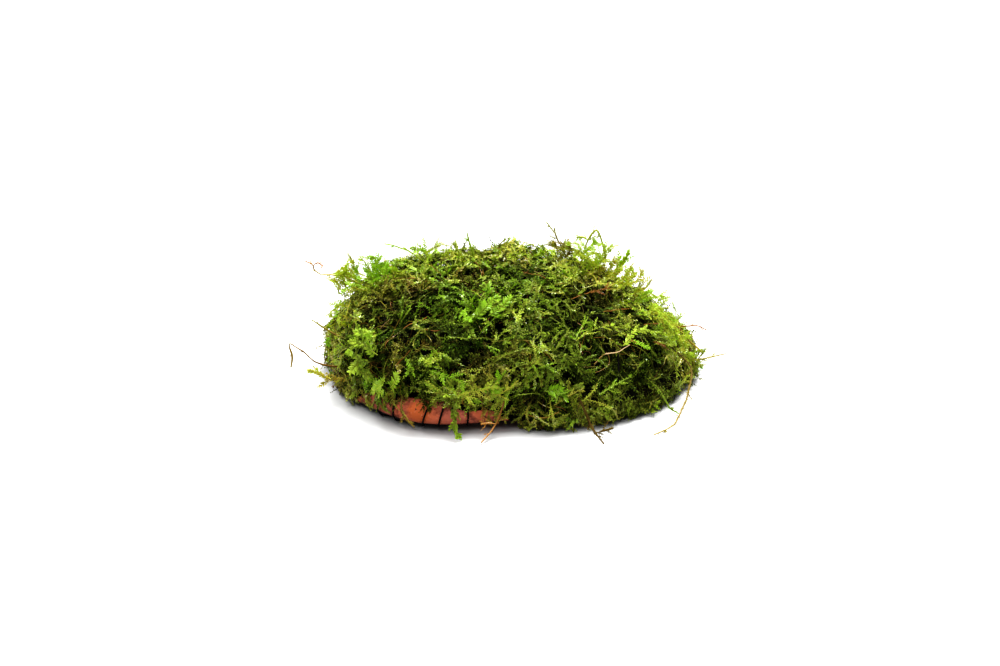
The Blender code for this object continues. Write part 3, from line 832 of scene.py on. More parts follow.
darkHoles = (
    # place, reach
    ((-27.5, -19, 31), 4.2), ((-29, -36, 25.5), 3.0), ((-20, -37, 27), 4.2), ((-11, -41, 24.5), 3.4),
    ((-25.5, -45, 17), 2.6), ((23, -34, 24), 3.2), ((23, -16, 30), 4.5), ((6.5, -47, 11.5), 3.6),
    ((18, -45, 17), 3.4), ((39, -22, 15), 4.5), ((26, 34, 18), 5.0), ((-34, 32, 17), 5.0),
    ((3, 43, 14), 4.5), ((-30, -45, 13), 4.5), ((-38, -15, 28), 3.2), ((12, -20, 32), 2.5),
    ((-33, -30, 26), 3.5), ((30, -34, 16), 3.0), ((25, -10, 29.5), 3.6), ((-1, -47, 9), 3.2),
    ((39, -34, 8), 3.2), ((-37, -36, 19), 3.6), ((39, -19, 22), 3.2), ((4, -9, 34), 3.0),
    ((1, -48, 9), 2.8), ((-8, -48.5, 8.5), 2.8), ((-15, -45, 22.5), 2.6), ((-34, -12, 30), 2.6),
    ((-27, -15, 31.5), 2.6), ((-13, -41, 25), 3.0), ((-27, -46.5, 9), 2.6),
)
shootHabit = {
    "wander": 0.1, "sag": 0.1, "downhill": 0.35, "coherence": 0.75, "scatter": 0.75, "roll": 0.42,
    "tuftSize": 9.0, "tuftSeed": 31, "relief": 1.0, "below": 99, "thin": False, "spread": 1.2,
    "peakAt": 0.6, "settle": 0.5, "lowest": 0.7, "edgeScatter": 3.0,  # settle is the gap to the clay
    # size, seed and amount of the lumps, then a shoot's own share
    "toneLumps": ((13.0, 41, 0.45), (4.5, 42, 0.3)), "toneSpread": 0.16,
    "ageLumps": ((11.0, 51, 0.4),), "ageSpread": 0.3, "ages": (0.04, 0.93),
    "holeShade": 0.85, "deepShadeFrom": 0.2, "deepShade": 0.21,  # painted shade: set older, so darker, in holes and deep down
    "steps": 9, "stem": (0.16, 0.07), "stemTone": 0.75, "sides": 3,
    "branchSteps": 4, "branchFrom": 0.12, "branchAngle": 50, "branchStem": (0.1, 0.06), "branchLeaves": 10,
}
mossLayers = {
    "mossUnder": {
        "seed": 21, "shoots": 150, "length": (9, 17), "root": (-4.8, -4.0), "peak": (-3.6, -2.4),
        "tip": (-3.2, -1.6), "branches": 5, "branchLength": (3.0, 5.5),
        "leaf": {"length": 1.25, "count": 34},
        "tone": (0.15, 0.62), "age": (0.05, 0.26), "holeShare": 0.5},
    "mossMiddleA": {
        "seed": 22, "shoots": 250, "length": (8, 17), "root": (-4.2, -2.6), "peak": (-2.2, -0.8),
        "tip": (-2.2, 0.0), "branches": 4, "branchLength": (2.6, 5.2),
        "leaf": {"length": 1.15, "count": 34},
        "tone": (0.2, 0.8), "age": (0.08, 0.5), "holeShare": 0.08},
    "mossMiddleB": {
        "seed": 23, "shoots": 270, "length": (8, 16), "root": (-4.0, -2.4), "peak": (-1.6, 0.0),
        "tip": (-2.4, 0.6), "branches": 4, "branchLength": (2.4, 5.0),
        "leaf": {"length": 1.1, "count": 34},
        "tone": (0.22, 0.85), "age": (0.12, 0.7), "holeShare": 0.05},
    "mossOuterA": {
        "seed": 24, "shoots": 390, "length": (7, 15), "root": (-3.6, -1.8), "peak": (-0.7, 0.9),
        "tip": (-2.2, 1.2), "branches": 3, "branchLength": (2.0, 4.4),
        "leaf": {"length": 1.22, "count": 32},
        "tone": (0.25, 0.9), "age": (0.2, 0.9), "holeShare": 0.02},
    "mossOuterB": {
        "seed": 25, "shoots": 380, "length": (6, 14), "root": (-3.4, -1.5), "peak": (-0.4, 1.3),
        "tip": (-1.5, 1.8), "branches": 3, "branchLength": (1.6, 3.6),
        "leaf": {"length": 1.02, "count": 34, "aspect": 0.6, "angle": 44},
        "tone": (0.28, 0.92), "age": (0.3, 1.0), "holeShare": 0.02},
    "mossStrands": {
        "seed": 28, "shoots": 270, "length": (10, 21), "root": (-2.6, -0.8), "peak": (0.2, 2.0),
        "tip": (-1.2, 1.6), "branches": 2, "branchLength": (1.2, 2.8), "branchLeaves": 7, "steps": 12,
        "leaf": {"length": 0.82, "count": 42, "aspect": 0.54, "angle": 40}, "wander": 0.17,
        "tone": (0.3, 0.78), "age": (0.4, 0.95), "holeShare": 0.14, "stem": (0.18, 0.09),
        "holeShade": 0.25, "relief": 0.7},
    "mossFringe": {
        "seed": 26, "shoots": 300, "length": (3, 7), "root": (-2.6, -1.2), "peak": (0.0, 1.2),
        "tip": (1.0, 2.8), "branches": 2, "branchLength": (1.4, 2.6), "branchLeaves": 6,
        "leaf": {"length": 0.95, "count": 17, "aspect": 0.52}, "tone": (0.4, 0.85), "age": (0.5, 1.0),
        "holeShare": 0.0, "relief": 0.6, "sag": 0.0, "thin": True},
    "mossSkirt": {
        "seed": 27, "shoots": 270, "length": (6, 12), "root": (-2.6, -1.0), "peak": (-1.4, 0.2),
        "tip": (-1.0, 0.8), "branches": 2, "branchLength": (1.6, 3.2),
        "leaf": {"length": 1.05, "count": 28},
        "tone": (0.15, 0.75), "age": (0.1, 0.7), "holeShare": 0.3, "below": 13, "downhill": 1.6,
        "coherence": 0.5, "scatter": 0.5, "sag": 0.3, "branchLeaves": 7, "edgeScatter": 2.0},
}


def paint(points, tone, age):
    # each shoot's tone and age are drawn towards those of the patches that it lies in
    for place, reach, patchTone, patchAge in tonePatches:
        pull = bell(points, place, reach) * patchPull
        tone = tone + (patchTone - tone) * pull
        age = age + (patchAge - age) * pull
    return tone, age


def patchy(spot, lumpRows, spread, ends, draw):
    # from one end to the other by a half plus lumps plus each shoot's own share
    share = 0.5
    for size, seed, much in lumpRows:
        share = share + much * lumps(spot, size, seed)
    share = share + draw.normal(0, spread, len(spot))
    return ends[0] + (ends[1] - ends[0]) * np.clip(share, 0, 1)


def offHoles(points, layer, draw):
    # keeps all shoots away from the dark holes but for a small share
    keep = np.ones(len(points), bool)
    chance = draw.uniform(0, 1, len(points))
    for place, reach in darkHoles:
        near = np.linalg.norm(points - place, axis=-1) < reach
        keep &= ~(near & (chance > layer["holeShare"]))
    return keep


def settled(path):
    # off the clay, and a little off the table
    path = clearOfClay(path, shootHabit["settle"])
    path[..., 2] = np.maximum(path[..., 2], shootHabit["lowest"])
    return path


def makeMossLayer(name, layer):
    # Spots spread by area over the mat's outward faces, twice as many as needed, since some fall in
    # holes. A shoot's middle lies over its spot, and its height goes from its root's to its peak's and
    # on to its tip's. It runs downhill, with its neighbours and at random by their three shares.
    draw = np.random.default_rng(layer["seed"])
    plan = shootHabit | layer
    share = matAreas * (matSpots[:, 2] < plan["below"])
    chosen = draw.choice(len(matSpots), plan["shoots"] * 2, p=share / share.sum())
    spot = matSpots[chosen] + draw.normal(0, plan["spread"], (len(chosen), 3))
    spot = spot[offHoles(spot, plan, draw)][:plan["shoots"]]
    count = len(spot)
    normal = unit(slopeOfMat(spot))
    downhill = np.array([0, 0, -1.0]) + normal * normal[:, 2:]
    tufts = mixed(spot, plan["tuftSize"], plan["tuftSeed"])
    aim = downhill * plan["downhill"] + tufts * plan["coherence"]
    aim = alongSurface(aim + draw.normal(0, plan["scatter"], spot.shape), normal)
    length = draw.uniform(*plan["length"], count)
    share, top = np.linspace(0, 1, plan["steps"]), plan["peakAt"]
    root, peak, tip = (draw.uniform(*plan[part], count)[:, None] for part in ("root", "peak", "tip"))
    heights = root + (peak - root) * ease(share / top) + (tip - peak) * ease((share - top) / (1 - top))
    path, facing = growOverMat(spot - aim * length[:, None] * 0.5, aim, length, heights, plan, draw)
    lowest = edgeHeight(path, edge) + draw.uniform(0, plan["edgeScatter"], (count, 1))
    path[..., 2] = np.maximum(path[..., 2], lowest)
    path = settled(path)
    facing = rolled(facing, path, draw.normal(0, plan["roll"], (count, 1, 1)))
    tone = patchy(spot, plan["toneLumps"], plan["toneSpread"], plan["tone"], draw)
    age = patchy(spot, plan["ageLumps"], plan["ageSpread"], plan["age"], draw)
    tone, age = paint(spot, tone, age)
    # painted shade: the deeper a shoot lies below the mat's surface and the nearer it comes to a dark
    # hole's middle, the older and darker its colour
    deep = np.minimum(heightOverMat(path) + plan["deepShadeFrom"], 0) * plan["deepShade"]
    for place, reach in darkHoles:
        deep = deep - bell(path, place, reach) * plan["holeShade"]
    age = np.clip(age[:, None] + deep, *plan["ages"])
    tone = tone[:, None] + 0 * age
    part = together(shootParts((path, facing, tone, age), plan, draw, settled))
    putMesh(name, aboveTable(part), fringeFinish if plan["thin"] else mossFinish)


mossLook = {
    # colours along the tone from straw and brown to yellow-green, for old and for young leaves; the old
    # ones also give the painted shade deep in the mat and in its holes
    "old": ((0.0, "34200c"), (0.14, "1a0f05"), (0.34, "131402"), (0.56, "091701"), (0.78, "102602"),
            (1.0, "2e4a05")),
    "young": ((0.0, "ccb690"), (0.06, "b47c44"), (0.16, "a07c38"), (0.34, "bab24e"), (0.52, "b0c34a"),
              (0.74, "97bd36"), (1.0, "92c424")),
    "throughBlue": 0.72,  # blue's share of the light that comes through a leaf
    "roughness": 0.6, "filmRoughness": 0.1, "leastFilm": 0.3,
}


def wetMoss(name, glow, gloss, lit=1.0):
    # the palette map's first number is the tone, straw and brown to yellow-green, and its second the
    # age, dark and old to light and young, which also carries painted shade deep in the mat and in its
    # holes; light also comes through the thin leaves, and a film of water lies on the younger ones,
    # thicker in some places than in others
    made = Finish(name)
    palette = made.node("SeparateXYZ", None, {"Vector": made.node("UVMap", {"uv_map": "OFBake"})})
    tone = palette
    age = Wire(made.tree, palette.socket.node.outputs[1])
    old, young = (made.ramp(tone, shades(*mossLook[end])) for end in ("old", "young"))
    body = made.blend(old, young, age)
    where = made.node("TexCoord", output=3)
    puddles = made.mask(made.noise(where, 240, 2), 0.44, 0.6)
    least = mossLook["leastFilm"]
    film = made.mask(age, 0.15, 0.75) * (least + puddles * (1 - least)) * gloss
    surface = made.node("BsdfPrincipled", None, {
        "Base Color": body, "Roughness": mossLook["roughness"] - age * 0.18, "Specular IOR Level": 0.06,
        "Coat Weight": film, "Coat Roughness": mossLook["filmRoughness"], "Coat IOR": 1.46})
    light = (lit, lit, mossLook["throughBlue"] * lit, 1.0)
    through = made.node("BsdfTranslucent", None, {"Color": made.blend(body, light, 1.0, "MULTIPLY")})
    both = made.node("MixShader", None, {0: glow, 1: surface, 2: through})
    return made.done(both)


# the thread

thread = {
    # radius, how much wider its fluff makes it, its gaps to clay and to the mat's top, and where
    # round the rim it has a point, in degrees
    "radius": 0.2, "fluff": 1.5, "gap": 0.4, "depth": 5.0, "rimTurn": (-90, -54, -18, 18, 50),
    "turns": ((-37.6, 0.2, -35), (-33, 0.5, -28), (-24, 1.6, -21), (-19.5, 1.2, -13),
              (-12, 0, -5), (4, 0.6, 8), (17, -0.5, 20), (31, 0.4, 30)),  # front X, slant, back X
    "under": (0.25, 0.5, 0.75),  # places on the way back along the underside
    "overSteps": 5, "flatness": 0.8, "ends": 0.02, "roundness": 0.7,  # the arch under the mat's top
    # the mat's form there: how far it passes the clay, its height, how full its sides are and how
    # much less so to the right
    "overhang": 2.4, "height": 35, "fullness": (2.65, 0.8),
    "twist": 2.2, "plies": 3, "plySwell": (0.86, 0.16), "ring": 9, "rimSteps": 6, "runSteps": 5,
    "fuzz": ((0.35, "060504"), (0.6, "100d0b"), (0.75, "24201b")),
}


def threadRoute():
    # for each turn: up round the front rim, over under the mat's top in a flattened arch, down
    # round the back rim, and back along the arched underside
    angles = np.linspace(0, math.pi, 721)
    off = thread["gap"] + thread["radius"]
    turn = np.radians(thread["rimTurn"])

    def roundRim(x, side, slant):
        # points round the rim where its outline is at this X, square to it but for the slant
        angle = side * np.interp(-x, -clayReach(side * angles) * np.cos(angles), angles)
        near = np.stack([claySection(angle + shift, 0.0) for shift in (-0.01, 0.01)])
        tangent = unit((near[1] - near[0]) * (1, 1, 0))
        outward = np.array([tangent[1], -tangent[0], 0])
        reach = (clay["rimRounding"] + off) * np.cos(turn) - clay["rimRounding"]
        place = clayReach(angle) * np.array([math.cos(angle), math.sin(angle), 0])
        points = place + outward * reach[:, None] + tangent * slant * np.sin(turn)[:, None]
        half = clay["thickness"] / 2
        points[:, 2] = half + (half + off) * np.sin(turn) + archHeight(points[:, 0])
        return points

    def matTop(x, y):
        # the height to which the mat rises there, (1 - out^n)^(1/n) of its full height
        angle = math.atan2(y, x)
        out = min(1.0, math.hypot(x, y) / (clayReach(angle) + thread["overhang"]))
        bulge = thread["fullness"][0] - thread["fullness"][1] * math.cos(angle)
        return thread["height"] * (1 - out ** bulge) ** (1 / bulge)

    ends = thread["ends"]
    route, steps = [], []
    for frontX, slant, backX in thread["turns"]:
        front, back = roundRim(frontX, -1, slant), roundRim(backX, 1, 0.0)[::-1]
        if route:
            share = np.array(thread["under"])[:, None]
            under = route[-1][-1] * (1 - share) + front[0] * share
            under[:, 2] = archHeight(under[:, 0]) - off
            route.append(under)
            steps += [thread["runSteps"]] * len(under)
        middle = (front[-1] + back[0]) / 2
        top = matTop(middle[0], middle[1]) - thread["depth"]
        swing = np.arange(1, thread["overSteps"]) / thread["overSteps"] * math.pi
        across = 0.5 - 0.5 * np.copysign(np.abs(np.cos(swing)) ** thread["flatness"], np.cos(swing))
        over = front[-1] + (back[0] - front[-1]) * (ends + (1 - 2 * ends) * across)[:, None]
        over[:, 2] = middle[2] + (top - middle[2]) * np.sin(swing) ** thread["roundness"]
        route += [front, over, back]
        for places, count in ((front, "rimSteps"), (over, "runSteps"), (back, "rimSteps")):
            steps += [thread[count]] * len(places)
    return np.concatenate(route), steps


def makeBindingStrand():
    # three plies laid round each other: a ring whose radius swells three times a turn, carried
    # along the route while it twists
    route, steps = threadRoute()
    parts = [
        route[place] + (route[place + 1] - route[place]) * (np.arange(count) / count)[:, None]
        for place, count in enumerate(steps[:-1])]
    path = np.concatenate(parts + [route[-1:]])
    path[1:-1] = (path[:-2] + 2 * path[1:-1] + path[2:]) / 4
    along = unit(np.gradient(path, axis=0))
    travelled = np.concatenate([[0], np.cumsum(np.linalg.norm(np.diff(path, axis=0), axis=1))])
    across = unit(np.cross(along, (1.0, 0.2, 0.1)))
    outward = np.cross(along, across)
    turn = np.arange(thread["ring"]) * fullTurn / thread["ring"]
    twisted = turn + (travelled / thread["twist"] * fullTurn)[:, None]
    base, swell = thread["plySwell"]
    radius = thread["radius"] * thread["fluff"] * (base + swell * np.cos(thread["plies"] * turn))
    ring = across[:, None] * np.cos(twisted)[..., None] + outward[:, None] * np.sin(twisted)[..., None]
    rows = path[:, None] + ring * radius[:, None]
    putMesh("bindingStrand", closedSkin(rows, path[0], path[-1]), blackCotton(),
            ["binding_thread"], soft=True)


def blackCotton():
    # near-black, with paler fuzz
    made = Finish("blackCotton")
    where = made.node("TexCoord", output=3)
    fuzz = made.noise(where, 2600, 3)
    body = made.ramp(fuzz, shades(*thread["fuzz"]))
    surface = made.node("BsdfPrincipled", None, {
        "Base Color": body, "Roughness": 0.6 + fuzz * 0.25, "Specular IOR Level": 0.1,
        "Normal": made.bump(fuzz, 0.6, 0.0001)})
    return made.done(surface)


# strays: one piece for each loose stem and sprig, along the frame's own stems

strayKinds = {
    "wiry": {"slot": "moss_stem_brown", "stem": 0.52, "leaf": {"length": 0.6, "aspect": 0.4, "angle": 35},
             "spacing": 0.75, "branches": 3, "branchLength": (0.8, 2.2), "branchLeaves": 4},
    "olive": {"slot": "moss_stem_olive", "stem": 0.42, "leaf": {"length": 0.8, "aspect": 0.42, "angle": 38},
              "spacing": 0.36, "branches": 4, "branchLength": (1.2, 3.0), "branchLeaves": 7},
    "leafy": {"slot": "moss_stem_green", "stem": 0.16, "leaf": {"length": 1.35, "aspect": 0.5, "angle": 44},
              "spacing": 0.27, "branches": 4, "branchLength": (1.6, 3.6), "branchLeaves": 10},
    "slim": {"slot": "moss_stem_green", "stem": 0.22, "leaf": {"length": 0.9, "aspect": 0.45, "angle": 36},
             "spacing": 0.32, "branches": 2, "branchLength": (1.0, 2.0), "branchLeaves": 6},
}
strayHabit = {
    "sides": 5, "stemTone": 0.8, "branchSteps": 5, "branchFrom": 0.12, "branchAngle": 46,
    "branchStem": (0.12, 0.07), "steps": 5, "wobble": 0.24, "wobbleSize": 2.3, "wobbleSeed": 17,
    "lowest": 0.45, "facing": (0.15, -0.75, 0.65), "thinnest": 0.17, "slim": 0.45, "slimTo": 0.45,
    "knob": 0.28, "knobSize": 1.3, "knobSeed": 19, "seed": 300,
}
strays = {
    # node: kind, tones and ages at its two ends, route as x, y, z and radius
    "stem_left_long": ("wiry", (0.16, 0.28), (0.35, 0.8), (
        (-47, -13, 9, 0.9), (-51.5, -16, 9.2, 0.8), (-56, -18.5, 11.2, 0.45), (-60.2, -20, 15.4, 0.35),
        (-63.9, -20, 17.6, 0.35), (-63.2, -20.2, 14, 0.6), (-63.7, -20.4, 10.4, 0.4))),
    "stem_left_upper": ("wiry", (0.5, 0.08), (0.8, 0.9), (
        (-44, 2, 28.5, 0.8), (-50, 1, 31.5, 0.6), (-57, 0, 32.8, 0.35), (-58.3, 0, 35.2, 0.4),
        (-60.4, 0, 36.4, 0.3))),
    "stem_left_twig": ("wiry", (0.16, 0.45), (0.4, 0.5), (
        (-47.5, -11.5, 15.5, 0.6), (-52.5, -12, 18.5, 0.5), (-58, -12.5, 22.4, 0.35))),
    "sprig_left_low": ("leafy", (0.3, 0.45), (0.7, 0.9), (
        (-45, -23, 8.5, 0.9), (-51.5, -24, 8, 1), (-55, -24.5, 9.8, 0.9), (-58, -25, 11.4, 0.5))),
    "sprig_top_left": ("slim", (0.6, 0.7), (0.8, 0.95), (
        (-25, 9, 33, 0.9), (-30.5, 7.5, 37.4, 1.1), (-34, 6, 39.2, 0.8), (-37.2, 5, 40.2, 0.4))),
    "sprig_top": ("slim", (0.6, 0.66), (0.8, 0.95), (
        (-10.5, 12, 33, 0.9), (-12, 12, 37.4, 1.1), (-12.8, 12, 41.4, 0.6))),
    "stem_top_hair": ("olive", (0.3, 0.5), (0.3, 0.7), (
        (17, 12, 33.5, 0.6), (14.8, 12, 38.6, 0.55), (13, 12, 41.7, 0.4), (10.9, 12, 44.8, 0.3))),
    "stem_top_arch": ("olive", (0.5, 0.62), (0.8, 0.85), (
        (21, 10, 32, 0.8), (23.2, 10, 39.5, 0.7), (25.8, 10, 42.8, 0.6), (27.4, 10, 39.2, 0.6),
        (28.6, 9.5, 34.6, 0.8))),
    "sprig_top_right": ("leafy", (0.5, 0.56), (0.9, 1.0), (
        (31, 12, 27, 1), (33.5, 10, 32.6, 1.3), (35.5, 8.5, 36.4, 0.9))),
    "stem_right_tan": ("wiry", (0.16, 0.06), (0.6, 0.8), (
        (44, 5, 15, 0.5), (50.5, 2, 15.4, 0.4), (55.5, 0, 16.4, 0.35), (58.4, 0, 15, 0.3))),
    "stem_right_brown": ("wiry", (0.12, 0.4), (0.4, 0.9), (
        (43.5, 1, 19.5, 0.6), (49.5, -1.5, 16.6, 0.55), (53.3, -4, 12.8, 0.5), (57, -5, 9.6, 0.6))),
    "stem_right_hair": ("olive", (0.5, 0.3), (0.5, 0.8), (
        (47, -4, 11, 0.7), (53.8, -4.6, 7.4, 0.6), (57.4, -5, 7.7, 0.35), (63.9, -5, 9.2, 0.25))),
    "stem_trailing": ("olive", (0.28, 0.28), (0.12, 0.85), (
        (47.5, -10, 13, 0.75), (52.5, -17, 9.6, 0.75), (52, -24, 6.6, 0.65), (50.3, -31, 4.4, 0.5),
        (48.2, -37, 1.9, 0.45), (45.6, -42.5, 0.75, 0.4), (40.1, -48.8, 0.6, 0.35))),
    "sprig_right_curl": ("slim", (0.6, 0.66), (0.3, 0.75), (
        (36, -26, 11.8, 0.7), (42.2, -31.4, 8.2, 0.7), (45, -34, 3.8, 0.7), (48.2, -33, 0.9, 0.5))),
    "twig_front": ("olive", (0.24, 0.24), (0.05, 0.25), (
        (16.8, -37.5, 12.5, 0.8), (20.2, -46.2, 8, 0.8), (22.8, -50, 3, 0.8), (25.8, -56, 0.8, 0.6))),
    "root_front": ("wiry", (0.14, 0.14), (0.05, 1.0), (
        (-1, -38.5, 13, 0.6), (-2.4, -47.2, 8.6, 0.55), (-4.6, -50, 3.4, 0.5), (-8.2, -54.8, 0.7, 0.4))),
    "frond_front": ("leafy", (0.5, 0.66), (0.1, 0.75), (
        (-15.4, -39.5, 13.6, 0.9), (-15.8, -49, 9.4, 1.1), (-15.6, -51.4, 4.6, 1.4), (-15, -53, 1.3, 0.8))),
    "sprig_rim": ("olive", (0.3, 0.26), (0.1, 0.6), (
        (-29.4, -37, 13, 0.6), (-30.6, -46.2, 8.6, 0.6), (-29.6, -47.6, 5.6, 0.6), (-27.2, -48.6, 3, 0.5))),
    "stem_back_left": ("wiry", (0.16, 0.3), (0.5, 0.8), (
        (-36, 30, 15, 0.9), (-43, 37, 14.5, 0.7), (-48.5, 42, 16.5, 0.4), (-51.5, 45.5, 14.5, 0.4))),
    "stem_back_right": ("olive", (0.3, 0.5), (0.5, 0.8), (
        (28, 37, 13, 0.9), (33, 45, 9, 0.8), (34, 50.5, 3.6, 0.6), (31, 55.5, 0.8, 0.5))),
    "sprig_back_low": ("leafy", (0.6, 0.8), (0.6, 0.8), (
        (-9, 39, 12.5, 0.9), (-10, 47.4, 9, 1), (-12.8, 51.6, 3.4, 0.9), (-17, 54.6, 1, 0.6))),
}
forks = {
    "stem_left_upper": ((-58.2, 0, 34.9, 0.4), (-56.6, -0.3, 35.9, 0.4), (-55, -0.6, 35, 0.3)),
    "twig_front": ((23.2, -50.6, 1.5, 0.7), (26, -50.8, 2.6, 0.6), (28.6, -50.4, 3.2, 0.5)),
    "root_front": ((-4.4, -49.6, 4.2, 0.6), (-6.6, -49.9, 4.6, 0.7), (-8.4, -49.9, 4.2, 0.5)),
    "stem_top_arch": ((23.4, 10, 39.8, 0.7), (21.6, 9.4, 41, 0.8), (19.8, 9, 41, 0.5)),
}


def smoothRoute(points, steps):
    # a Catmull-Rom curve through the points, evenly many steps between each two
    points = np.array(points, float)
    padded = np.concatenate([2 * points[:1] - points[1:2], points, 2 * points[-1:] - points[-2:-1]])
    share = (np.arange(steps) / steps)[:, None]
    spans = []
    for before, start, end, after in zip(padded, padded[1:], padded[2:], padded[3:]):
        spans.append(0.5 * (2 * start + (end - before) * share
                            + (2 * before - 5 * start + 4 * end - after) * share ** 2
                            + (3 * start - before - 3 * end + after) * share ** 3))
    return np.concatenate(spans + [points[-1:]])


def leafyStem(route, kind, tones, ages, draw):
    # the route with a fine wobble, slender where it is still in the moss, its radius swelling at
    # knobs; tone and age run from end to end
    plan = strayHabit | strayKinds[kind]
    curve = smoothRoute(route, plan["steps"])
    path, radius = curve[None, :, :3], curve[None, :, 3]
    share = np.linspace(0, 1, path.shape[1])[None]
    wobble = mixed(path, plan["wobbleSize"], plan["wobbleSeed"]) * plan["wobble"]
    path = path + wobble * np.sin(share * math.pi)[..., None]
    path[..., 2] = np.maximum(path[..., 2], plan["lowest"])
    along = unit(np.gradient(path, axis=1))
    facing = unit(np.cross(along, np.cross(np.array(plan["facing"]), along)))
    slim = plan["slim"] + (1 - plan["slim"]) * ease(share / plan["slimTo"])
    slim = np.maximum(radius * plan["stem"], plan["thinnest"]) * slim
    plan["knobs"] = slim * (1 + plan["knob"] * lumps(path, plan["knobSize"], plan["knobSeed"]))
    plan["stem"] = (1, 1)
    plan["leaf"] = plan["leaf"] | {"count": int(pathLength(path[0]) / plan["spacing"])}
    tone = tones[0] + (tones[1] - tones[0]) * share
    age = ages[0] + (ages[1] - ages[0]) * share
    return shootParts((path, facing, tone, age), plan, draw)


def makeStrays():
    # each named after its own stem in the frame, with its fork where it has one
    for number, (node, (kind, tones, ages, route)) in enumerate(strays.items()):
        draw = np.random.default_rng(strayHabit["seed"] + number)
        parts = leafyStem(route, kind, tones, ages, draw)
        if node in forks:
            parts += leafyStem(forks[node], kind, tones[1:] * 2, ages[1:] * 2, draw)
        words = node.split("_")
        name = words[0] + "".join(word.capitalize() for word in words[1:])
        finish = fringeFinish if kind in ("leafy", "slim") else strayFinish
        putMesh(name, aboveTable(together(parts)), finish, [node])


# fronds given one by one, nearly all where the photograph shows one clearly

frondKinds = {
    "broad": {"leaf": {"length": 2.2, "aspect": 0.56, "angle": 52}, "spacing": 0.42, "stem": (0.16, 0.08)},
    "ribbon": {"leaf": {"length": 2.3, "aspect": 0.5, "angle": 54, "angleSpread": 5, "liftSpread": 0.1,
                        "roll": 0.2, "curl": 0.1},
               "spacing": 0.42, "stem": (0.18, 0.12), "lean": (0, -0.65, 0.45), "roll": 0.15,
               "branching": False},
    "fine": {"leaf": {"length": 1.15, "aspect": 0.46, "angle": 46}, "spacing": 0.34, "stem": (0.14, 0.07)},
    "thin": {"leaf": {"length": 0.85, "aspect": 0.42, "angle": 40}, "spacing": 0.34, "stem": (0.13, 0.07)},
    "bare": {"leaf": {"length": 0.5, "aspect": 0.4, "angle": 30}, "spacing": 1.2, "stem": (0.18, 0.12),
             "branching": False},
}
frondHabit = {
    "sides": 4, "stemTone": 0.8, "branchSteps": 5, "branchFrom": 0.2, "branchAngle": 48,
    "branchStem": (0.11, 0.06), "branchLength": (1.8, 3.6), "branchLeaves": 11, "perBranch": 3.2,
    "branching": True, "lean": (0, -0.8, 0.2), "roll": 0.4, "wobble": 0.35, "wobbleSize": 3.0,
    "wobbleSeed": 23, "seed": 77, "footLift": 0.4, "steps": 5, "shortSteps": 9,
}
